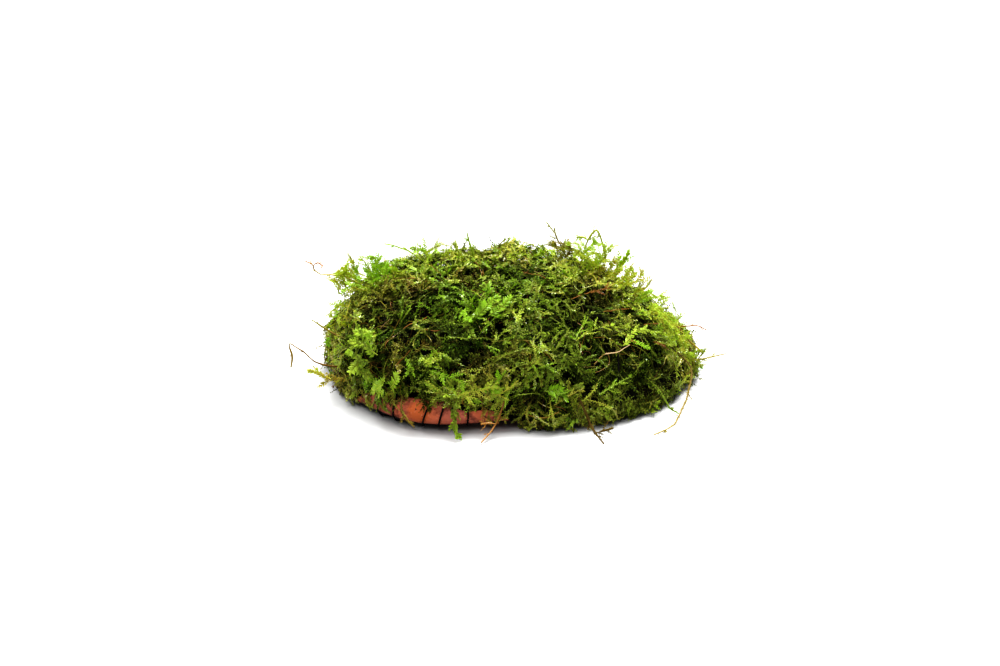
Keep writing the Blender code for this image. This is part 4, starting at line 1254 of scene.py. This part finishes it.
handSet = (
    # kind, tone, age, how far it stands over the mat, points on the mat
    ("ribbon", 0.6, 1.05, 6.2, ((-41, -36, 9.5), (-37.5, -39.5, 11), (-33, -42.5, 14))),
    ("ribbon", 0.62, 1.05, 5.4, ((-39.5, -37, 11.5), (-36.5, -40, 12.5), (-32.5, -42.5, 15.5))),
    ("ribbon", 0.6, 1.0, 4.6, ((-34, -42, 12), (-32, -44, 14), (-30, -44.5, 17))),
    ("broad", 0.6, 0.68, 1.4, ((-45, -21, 25), (-43, -26, 22), (-39, -34, 20))),
    ("broad", 0.6, 0.64, 1.6, ((-37, -34, 19), (-41, -28, 20), (-45, -26, 17))),
    ("broad", 0.6, 0.7, 1.8, ((-39, -29, 25), (-42, -27, 22))),
    ("broad", 0.58, 0.64, 1.6, ((-44, -28, 18), (-43, -30, 14), (-41, -33, 11))),
    ("fine", 0.9, 0.9, 0.8, ((-42, -31, 13), (-41, -32, 6))),
    ("fine", 0.76, 0.8, 0.8, ((-30, -42, 22), (-27, -45, 17))),
    ("fine", 0.8, 0.5, 1.2, ((-11, -32, 31), (-8, -29, 33), (-5, -20, 33))),
    ("ribbon", 0.74, 0.62, 2.0, ((-10, -33, 30), (-7, -31, 32), (-4, -27, 33))),
    ("ribbon", 0.72, 0.58, 2.0, ((-6, -33, 30), (-2.5, -30, 31.5), (0, -26, 32))),
    ("fine", 0.8, 0.85, 1.0, ((-13, -29, 34), (-13, -34, 30))),
    ("fine", 0.75, 0.85, 1.2, ((-23, -47, 19), (-18, -46, 17), (-12, -47, 15))),
    ("fine", 0.7, 0.85, 1.0, ((-20, -46, 14), (-15, -49, 12), (-9, -47, 10))),
    ("fine", 0.8, 0.85, 1.2, ((-9, -47, 13), (-5, -45, 14), (-2, -45, 18))),
    ("fine", 0.56, 0.85, 1.2, ((-12, -47, 8), (-6, -46, 10), (-3, -46, 13))),
    ("fine", 0.8, 0.88, 2.2, ((-38, 0, 29), (-39, 6, 33), (-39, 10, 34))),
    ("thin", 0.55, 0.9, 1.6, ((18, -35, 23), (22, -31, 25), (28, -26, 24), (32, -23, 22))),
    ("fine", 0.56, 0.9, 1.6, ((32, -31, 21), (37, -22, 23), (43, -18, 21))),
    ("thin", 0.68, 0.7, 1.4, ((25, -43, 10.5), (29, -40, 12), (35, -35, 13))),
    ("fine", 0.76, 0.9, 1.4, ((35, -25, 21), (40, -24, 18))),
    ("ribbon", 0.8, 0.72, 1.0, ((10, -46, 12.5), (14, -47, 13.5))),
    ("fine", 0.74, 0.85, 1.4, ((11, -47, 10), (14, -46, 13.5))),
    ("thin", 0.42, 0.85, 1.4, ((12, -47, 9), (17, -46, 11), (21, -45, 13))),
    ("thin", 0.7, 0.85, 1.4, ((18, -35, 24), (22, -26, 28))),
    ("bare", 0.0, 0.93, 1.6, ((26, -35, 19), (30, -34, 20), (34, -30, 21))),
    ("bare", 0.12, 0.85, 1.4, ((23, -10, 31), (17, -21, 31))),
    ("bare", 0.15, 0.85, 1.4, ((36, -6, 24), (27, -22, 28))),
    ("bare", 0.1, 0.85, 1.4, ((44, -13, 23), (38, -18, 22))),
    ("bare", 0.12, 0.5, 1.2, ((-32, -41, 19), (-28, -41, 23))),
    ("thin", 0.1, 0.6, 1.5, ((23, -10, 30.5), (26, -8, 29.5), (28, -6, 28.5))),
    ("thin", 0.08, 0.6, 1.3, ((45, -10, 19.5), (49, -7, 17), (51, -4, 14))),
    ("thin", 0.1, 0.6, 1.2, ((41, -20, 18), (44, -18, 16))),
    ("fine", 0.5, 0.3, 1.2, ((40, -28, 13), (43, -29, 6))),
    ("fine", 0.55, 0.6, 0.6, ((-47, -27, 12), (-46, -29, 8), (-44.5, -31, 6))),
    ("ribbon", 0.66, 0.86, 1.0, ((-41.5, -35, 12.5), (-41.5, -36.5, 9.5), (-42, -37, 7))),
    ("fine", 0.3, 0.6, 0.8, ((-7, -45, 12), (-6, -48, 7), (-6, -50, 3))),
    ("fine", 0.4, 0.65, 0.8, ((-4, -45, 12), (-3, -48, 7), (-2, -50, 3))),
    ("thin", 0.2, 0.6, 1.0, ((-9, -45, 11), (-7, -48, 8), (-3, -49, 5))),
    ("fine", 0.5, 0.7, 1.2, ((-5, -42, 16), (-3, -46, 12), (-3, -49, 7))),
    ("fine", 0.6, 0.8, 1.4, ((2, -43, 16), (-1, -46, 12), (-2, -49, 8))),
    ("fine", 0.45, 0.55, 1.0, ((15, -42, 15), (18, -46, 11), (20, -48, 6))),
    ("fine", 0.5, 0.65, 1.0, ((20, -42, 14), (20, -46, 10), (21, -48, 5))),
    ("fine", 0.42, 0.6, 0.8, ((24, -41, 13), (22, -45, 9), (23, -47, 4))),
    ("thin", 0.4, 0.6, 1.0, ((17, -44, 12), (19, -47, 7), (22, -48, 3))),
    ("fine", 0.5, 0.2, 0.2, ((-31, -41, 16), (-30, -44, 13), (-30, -46, 11))),
    ("fine", 0.6, 0.7, 1.6, ((-18, -43, 16), (-16, -47, 12), (-16, -49, 8))),
    ("fine", 0.55, 0.6, 1.6, ((-13, -44, 16), (-15, -47, 12), (-15, -49, 8))),
    ("fine", 0.34, 0.5, 0.4, ((-48, -25, 5), (-45, -30, 4), (-42, -34, 4))),
    ("thin", 0.25, 0.8, 0.6, ((-46, -29, 3.5), (-41, -36, 4), (-37, -40, 5))),
    ("fine", 0.4, 0.3, 0.6, ((-41, -35, 10), (-38.5, -39, 8), (-36.5, -42, 6.6))),
    ("fine", 0.3, 0.25, 0.6, ((-37, -39, 11), (-35.5, -42, 9), (-34, -44, 7.4))),
    ("fine", 0.34, 0.3, 0.8, ((-47, -28, 7), (-44.5, -32, 5), (-42.5, -34.5, 3.6))),
    ("thin", 0.2, 0.4, 0.8, ((-45, -31, 7.5), (-43, -34, 5), (-40.5, -37, 3.6))),
    ("fine", 0.4, 0.35, 0.8, ((-44, -32, 8), (-42, -35, 6), (-39.5, -38.5, 5.6))),
    ("bare", 0.22, 0.95, 1.5, ((3, -48, 5.5), (9, -49, 5), (14, -49, 7.5))),
    ("fine", 0.45, 0.55, 0.4, ((24, -44, 9), (26, -45, 5), (27, -46, 2.5))),
    ("fine", 0.5, 0.6, 0.4, ((28, -42, 9), (30, -43, 5), (31, -44, 2.5))),
    ("fine", 0.4, 0.5, 0.4, ((21, -46, 8), (23, -47, 4), (23, -48, 2))),
    ("broad", 0.84, 0.88, 1.4, ((-30, 34, 20), (-38, 30, 17))),
    ("broad", 0.8, 0.86, 1.2, ((22, 34, 24), (30, 36, 15))),
    ("fine", 0.86, 0.86, 1.4, ((6, 42, 20), (-2, 45, 13))),
    ("fine", 0.82, 0.86, 1.4, ((40, 24, 18), (46, 20, 9))),
    ("broad", 0.8, 0.8, 1.2, ((-50, 8, 18), (-51, 2, 10))),
    ("fine", 0.46, 1.0, 2.2, ((-13, -46, 12), (-8, -46.5, 13.5), (-4, -46, 15.5))),
    ("fine", 0.5, 1.0, 2.0, ((-19, -46, 14), (-15, -46, 12), (-10, -47, 11))),
    ("thin", 0.44, 1.0, 2.0, ((-7, -46, 11), (-2, -46, 12.5), (2, -45, 15.5))),
    ("fine", 0.52, 0.95, 1.8, ((-24, -45, 15.5), (-20, -46, 13), (-17, -47, 10))),
    ("ribbon", 0.58, 1.1, 5.6, ((-39.5, -38, 9), (-36.5, -40.5, 10.5), (-33.5, -42.5, 12.5))),
)
sprigHabit = {  # the second copy of a sprig is the shorter one beside it
    "seed": 78, "copies": 2, "spread": 0.25, "copySpread": 0.7, "shorter": 0.15, "older": 0.06,
    "toneSpread": 0.04, "topFrom": 25, "alongSight": 4, "rootDepth": 3, "steps": 4,
}
outlineSprigs = (
    # kind, tone, age, points from the mat out into the air
    ("fine", 0.63, 0.85, ((-40.1, 9, 32.1), (-41.2, 9, 34.3), (-43, 9, 35.8))),
    ("thin", 0.58, 0.8, ((-41.9, 9, 30.2), (-42.8, 9, 32.7), (-44.8, 9, 34.9))),
    ("fine", 0.68, 0.88, ((-41.3, 7, 27.1), (-40.6, 7, 30.2), (-39.7, 7, 33.3), (-39.3, 7, 35.8))),
    ("fine", 0.7, 0.88, ((-38.5, 6, 27.4), (-37.6, 6, 31.1), (-36.9, 6, 34.3))),
    ("fine", 0.68, 0.85, ((-37, 6, 26.8), (-36.4, 6, 29.3), (-35.8, 6, 31.8))),
    ("fine", 0.42, 1.0, ((-52.9, 4, 31.5), (-50.5, 4, 33.3), (-48.4, 4, 35.2))),
    ("fine", 0.46, 1.0, ((-51.1, 3, 31.2), (-49, 3, 32.7), (-47.1, 3, 34.6))),
    ("thin", 0.45, 0.85, ((-45.9, 6, 31.1), (-47, 6, 33.6), (-47.6, 6, 35.5))),
    ("fine", 0.42, 0.95, ((-50, 1, 32.1), (-50.4, 1, 30.2), (-50.7, 1, 28.1))),
    ("fine", 0.5, 0.9, ((-50.2, 0, 23.1), (-52.3, 0, 21.8), (-54.1, 0, 20))),
    ("fine", 0.63, 0.85, ((-45.6, 0, 29.3), (-47.7, 0, 28.1), (-49.5, 0, 27.4))),
    ("fine", 0.58, 0.9, ((-25.2, 12, 35.2), (-27.3, 12, 36.2), (-29.1, 12, 37.4))),
    ("thin", 0.48, 0.85, ((-25.2, 12, 35.2), (-23.4, 12, 36.2), (-21, 12, 37.4), (-19.5, 12, 38))),
    ("thin", 0.48, 0.85, ((-19.2, 12, 35.2), (-19.5, 12, 38))),
    ("thin", 0.48, 0.8, ((-15.3, 12, 36.2), (-16.8, 12, 37.7), (-17.1, 12, 39.3))),
    ("fine", 0.54, 1.0, ((24.5, 8, 33), (22, 8, 36.1), (19.3, 8, 37.7), (16.1, 8, 38.3))),
    ("fine", 0.52, 1.0, ((25.7, 8, 31.8), (23.3, 8, 34.3), (20.8, 8, 36.1), (17.9, 8, 36.8))),
    ("thin", 0.54, 1.0, ((22.1, 8, 32.7), (19.7, 8, 34.3), (16.7, 8, 34.9))),
    ("fine", 0.54, 1.0, ((26.9, 9, 33.3), (23.9, 9, 36.4), (19.7, 9, 38.6), (16.7, 9, 39.3))),
    ("fine", 0.58, 0.95, ((22.7, 9, 37.1), (24.4, 9, 38.3), (25, 9, 39.3))),
    ("fine", 0.58, 0.95, ((26, 9, 33.9), (28.6, 9, 36.4), (30.7, 9, 38.6))),
    ("fine", 0.42, 1.0, ((31.3, 6, 31.8), (32.1, 6, 33.9), (32.4, 6, 35.8))),
    ("fine", 0.44, 1.0, ((36.8, 3, 29.6), (38.5, 3, 31.5), (39.1, 3, 33))),
    ("thin", 0.44, 1.0, ((39.5, 2, 26.2), (40.9, 2, 27.7), (41.8, 2, 29.6))),
    ("fine", 0.42, 1.0, ((33.6, 5, 29), (34.8, 5, 30.8), (35.4, 5, 32.4))),
    ("thin", 0.58, 0.9, ((41.5, 0, 25.6), (43.2, 0, 25), (45.1, 0, 22.8))),
    ("fine", 0.48, 0.95, ((49.5, -2, 18.1), (49.1, -2, 20.9), (47.9, -2, 22.8))),
    ("fine", 0.5, 0.95, ((42.8, -8, 25.2), (46.3, -8, 21.4), (48.7, -8, 17), (50, -8, 11))),
    ("fine", 0.5, 0.98, ((44, -8, 23), (47.6, -8, 19.4), (51, -8, 14.2), (53, -8, 8.8), (53.8, -8, 4.5))),
    ("fine", 0.5, 0.92, ((43.9, -10, 22.1), (45.7, -10, 17.1), (47.6, -10, 11.5), (48.9, -10, 7.1))),
    ("thin", 0.48, 0.6, ((54.6, -6, 5.7), (55.4, -6, 8.2), (56.8, -6, 9.8))),
    ("fine", 0.42, 0.6, ((15.8, 9, 36.5), (13.7, 9, 38.3), (11.6, 9, 39.6))),
    ("fine", 0.36, 0.5, ((17.9, 9, 38), (14.9, 9, 39.4), (12.5, 9, 39.6))),
    ("thin", 0.4, 0.55, ((15.2, 9, 35.2), (14.3, 9, 37.6), (13.9, 9, 39.6))),
    ("thin", 0.45, 0.7, ((20, 9, 36.5), (17.5, 9, 38.4), (14, 9, 38))),
    ("fine", 0.5, 0.95, ((-47.1, 5, 27.4), (-47.7, 5, 29.9), (-47.9, 5, 32.7))),
    ("fine", 0.64, 0.9, ((-44.8, 6, 26.8), (-45.3, 6, 29.9), (-45.6, 6, 33))),
    ("fine", 0.68, 0.9, ((-43, 6, 26.8), (-43, 6, 29.9), (-43.5, 6, 33))),
    ("fine", 0.7, 0.92, ((-40.1, 7, 27.1), (-39.4, 7, 30.8), (-38.5, 7, 33.9))),
    ("fine", 0.58, 0.85, ((-34.3, 6, 27.7), (-34, 6, 29.9), (-33.1, 6, 32.4))),
    ("fine", 0.46, 0.95, ((-49.1, 3, 27.1), (-49.9, 3, 29.6), (-51.1, 3, 32.1))),
    ("thin", 0.5, 0.85, ((-50.5, 2, 26.2), (-51.7, 2, 28.7), (-52.5, 2, 30.5))),
    ("fine", 0.44, 1.0, ((33.6, 2, 28.4), (35.6, 2, 30.6), (36.8, 2, 32))),
    ("fine", 0.58, 0.9, ((38, 0, 24), (39.8, 0, 26.2), (41.4, 0, 27))),
    ("fine", 0.48, 0.95, ((42.4, -2, 21.6), (44, -2, 23.6), (45.4, -2, 23.8))),
    ("fine", 0.48, 0.95, ((46, -4, 17.6), (48, -4, 19), (49.2, -4, 19.2))),
    ("fine", 0.46, 0.95, ((48.8, -5, 13.5), (51, -5, 14.8), (52.4, -5, 14.4))),
    ("thin", 0.54, 0.85, ((50.9, -6, 9.2), (53.3, -6, 10.1), (55.1, -6, 8.8))),
    ("fine", 0.42, 1.0, ((26, 9, 32), (27.5, 9, 35), (28.6, 9, 38))),
    ("fine", 0.42, 1.0, ((29.5, 8, 30), (31, 8, 32.5), (32, 8, 34.4))),
    ("fine", 0.44, 1.0, ((37.5, 1, 26), (39.2, 1, 28.5), (40.6, 1, 30.5))),
    ("fine", 0.5, 0.95, ((-44.5, 5, 27), (-45, 5, 30), (-45.5, 5, 33))),
    ("thin", 0.46, 0.95, ((-46, 4, 27), (-46.5, 4, 30), (-46.2, 4, 32.5))),
    ("thin", 0.5, 0.15, ((-24.8, -46.5, 12), (-24.6, -47.4, 9.5), (-23.4, -47.8, 7.6))),
    ("thin", 0.5, 0.12, ((-21.6, -46.5, 12), (-22.3, -47.6, 9.2), (-23, -47.9, 7.4))),
    ("thin", 0.4, 0.5, ((-33, -43, 12), (-32.8, -44.4, 9.6), (-32.2, -44.9, 8))),
    ("thin", 0.3, 0.4, ((-15.4, -47, 11), (-16.4, -48, 8.4), (-16, -48.4, 7))),
)


def frondParts(path, kind, tone, age, draw):
    # along one path: flat side facing away from the mat, rolled a little, with side shoots every
    # few millimetres if its kind has any
    plan = frondHabit | frondKinds[kind]
    path = path[None] + mixed(path, plan["wobbleSize"], plan["wobbleSeed"]) * plan["wobble"]
    facing = unit(unit(slopeOfMat(path)) + plan["lean"])
    facing = rolled(facing, path, draw.normal(0, plan["roll"]))
    length = pathLength(path[0])
    plan["leaf"] = plan["leaf"] | {"count": int(length / plan["spacing"])}
    plan["branches"] = int(length / plan["perBranch"]) if plan["branching"] else 0
    even = np.ones(path.shape[:2])
    return shootParts((path, facing, even * tone, even * age), plan, draw, settled)


def makeHandSetFronds():
    # each point is moved along the mat's slope to the frond's height there, plus the swells
    draw = np.random.default_rng(frondHabit["seed"])
    parts = []
    for kind, tone, age, proud, route in handSet:
        points = np.array(route, float)
        slope = slopeOfMat(points)
        steep = np.linalg.norm(slope, axis=1, keepdims=True)
        lift = np.linspace(proud * frondHabit["footLift"], proud, len(points)) + bells(points, swells)
        points = points + slope / steep ** 2 * (lift - heightOverMat(points))[:, None]
        steps = frondHabit["steps"] if len(points) > 2 else frondHabit["shortSteps"]
        parts += frondParts(smoothRoute(points, steps), kind, tone, age, draw)
    putMesh("handSetFronds", together(parts), frondFinish)


def makeOutlineSprigs():
    # each starts a little inside the mat and has a shorter one beside it; those at the top are
    # moved along the photograph's line of sight by their own amounts
    plan, parts = sprigHabit, []
    draw = np.random.default_rng(plan["seed"])
    tilt = math.radians(view["elevation"])
    sight = np.array([0, math.cos(tilt), -math.sin(tilt)])
    for kind, tone, age, route in outlineSprigs:
        for copy in range(plan["copies"]):
            points = np.array(route, float)
            points = points + draw.normal(0, plan["spread"] + plan["copySpread"] * copy, 3)
            shift = draw.uniform(-plan["alongSight"], plan["alongSight"])
            points = points + sight * shift * (points[0, 2] > plan["topFrom"])
            points[1:] = points[:1] + (points[1:] - points[:1]) * (1 - plan["shorter"] * copy)
            root = points[0] + unit(matMap["centre"] - points[0]) * plan["rootDepth"]
            path = smoothRoute(np.concatenate([[root], points]), plan["steps"])
            sprigTone = tone + draw.normal(0, plan["toneSpread"])
            parts += frondParts(path, kind, sprigTone, age - plan["older"] * copy, draw)
    putMesh("outlineSprigs", together(parts), fringeFinish)


# dead wiry stems that wind through the live moss

deadStems = {
    "seed": 61, "count": 240, "length": (6, 20), "steps": 13, "depth": (-3.0, -0.4), "proud": (-0.8, 1.0),
    "radius": (0.15, 0.08), "thickness": (0.7, 1.25), "sides": 3, "spread": 1.0, "waves": (0.5, 1.4),
    "wander": 0.22, "sag": 0.02, "relief": 1.0, "overEdge": (0.2, 2.5),
    "tones": (0.02, 0.08, 0.16, 0.3), "toneShares": (0.04, 0.16, 0.38, 0.42), "ages": (0.1, 0.7),
}


def makeDeadStems():
    # spots spread by area over the mat, any direction, and a height that goes from deep to proud by
    # the squared sine of each stem's own number of waves
    plan = deadStems
    draw = np.random.default_rng(plan["seed"])
    count = plan["count"]
    chosen = draw.choice(len(matSpots), count, p=matAreas / matAreas.sum())
    spot = matSpots[chosen] + draw.normal(0, plan["spread"], (count, 3))
    aim = unit(draw.normal(0, 1, (count, 3)))
    length = draw.uniform(*plan["length"], count)
    share = np.linspace(0, 1, plan["steps"])
    low, high = (draw.uniform(*plan[part], count)[:, None] for part in ("depth", "proud"))
    heights = low + (high - low) * np.sin(share * math.pi * draw.uniform(*plan["waves"], (count, 1))) ** 2
    path, facing = growOverMat(spot - aim * length[:, None] / 2, aim, length, heights, plan, draw)
    lowest = edgeHeight(path, edge) + draw.uniform(*plan["overEdge"], (count, 1))
    path[..., 2] = np.maximum(path[..., 2], lowest)
    path = settled(path)
    radius = np.linspace(*plan["radius"], plan["steps"]) * draw.uniform(*plan["thickness"], (count, 1))
    tone = draw.choice(plan["tones"], count, p=plan["toneShares"])[:, None] + 0 * radius
    age = draw.uniform(*plan["ages"], count)[:, None] + 0 * radius
    putMesh("deadStems", tubes(path, facing, tone, age, radius, plan["sides"]), mossFinish)


# the studio: pale floor, soft light, the photograph's view

studio = {"floorSize": 24.0, "floor": "aeaeae", "roughness": 0.75, "sky": 0.35}


def makeStudio():
    # a level square floor and an even white sky; sizes and places here are in metres
    half = studio["floorSize"] / 2
    corners = [(-half, -half, 0), (half, -half, 0), (half, half, 0), (-half, half, 0)]
    mesh = bpy.data.meshes.new("floor")
    mesh.from_pydata(corners, [], [(0, 1, 2, 3)])
    floor = bpy.data.objects.new("floor", mesh)
    bpy.context.scene.collection.objects.link(floor)
    made = Finish("paleFloor")
    surface = made.node("BsdfPrincipled", None, {
        "Base Color": shade(studio["floor"]), "Roughness": studio["roughness"], "Specular IOR Level": 0.2})
    mesh.materials.append(made.done(surface))

    world = bpy.data.worlds.new("studioSky")
    world.use_nodes = True
    sky = world.node_tree.nodes["Background"]
    sky.inputs["Color"].default_value = (1, 1, 1, 1)
    sky.inputs["Strength"].default_value = studio["sky"]
    bpy.context.scene.world = world
    print("studio: floor and sky")


softLights = (
    # name, place, size, watts
    ("overheadBox", (0.0, 0.6, 3.6), 3.6, 312),
    ("keyBox", (0.7, 0.8, 3.45), 0.96, 100),
    ("frontFill", (-0.8, -3.2, 3.6), 2.4, 98),
)


def makeLights():
    # square area lights, each turned to the middle of the floor
    for name, place, size, watts in softLights:
        lamp = bpy.data.lights.new(name, "AREA")
        lamp.shape, lamp.size, lamp.energy = "SQUARE", size, watts
        light = bpy.data.objects.new(name, lamp)
        light.location = place
        aim = math.atan2(math.hypot(place[0], place[1]), place[2])
        light.rotation_euler = (aim, 0, math.atan2(place[0], -place[1]))
        bpy.context.scene.collection.objects.link(light)
    print("lights:", len(softLights))


def makeCamera():
    # stands in front of the target, over it by the elevation, and looks at it
    tilt = math.radians(view["elevation"])
    lens = bpy.data.cameras.new("camera")
    lens.lens, lens.sensor_width, lens.clip_start = view["lens"], view["film"], view["nearest"]
    camera = bpy.data.objects.new("camera", lens)
    away = np.array([0, -math.cos(tilt), math.sin(tilt)]) * view["distance"]
    camera.location = (np.array(view["target"]) + away) * millimetre
    camera.rotation_euler = (math.pi / 2 - tilt, 0, 0)
    bpy.context.scene.collection.objects.link(camera)
    bpy.context.scene.camera = camera
    bpy.context.scene.view_settings.view_transform = "Standard"
    bpy.context.scene.view_settings.look = "High Contrast"
    print("camera:", view["lens"], "mm lens,", view["distance"], "mm away")


# glow is the share of light that comes through the leaves, lit how bright it is, gloss how wet they are
mossFinish = wetMoss("wetMoss", glow=0.3, gloss=1.0)
fringeFinish = wetMoss("wetFringe", glow=0.55, gloss=0.8, lit=1.65)
frondFinish = wetMoss("wetFronds", glow=0.35, gloss=0.35, lit=1.25)
strayFinish = wetMoss("wetStrays", glow=0.15, gloss=0.25)

makeCamera()
makeClayShard()
makeBindingStrand()
makeMossHeart()
for layerName, layerPlan in mossLayers.items():
    makeMossLayer(layerName, layerPlan)
makeHandSetFronds()
makeOutlineSprigs()
makeDeadStems()
makeStrays()
makeStudio()
makeLights()
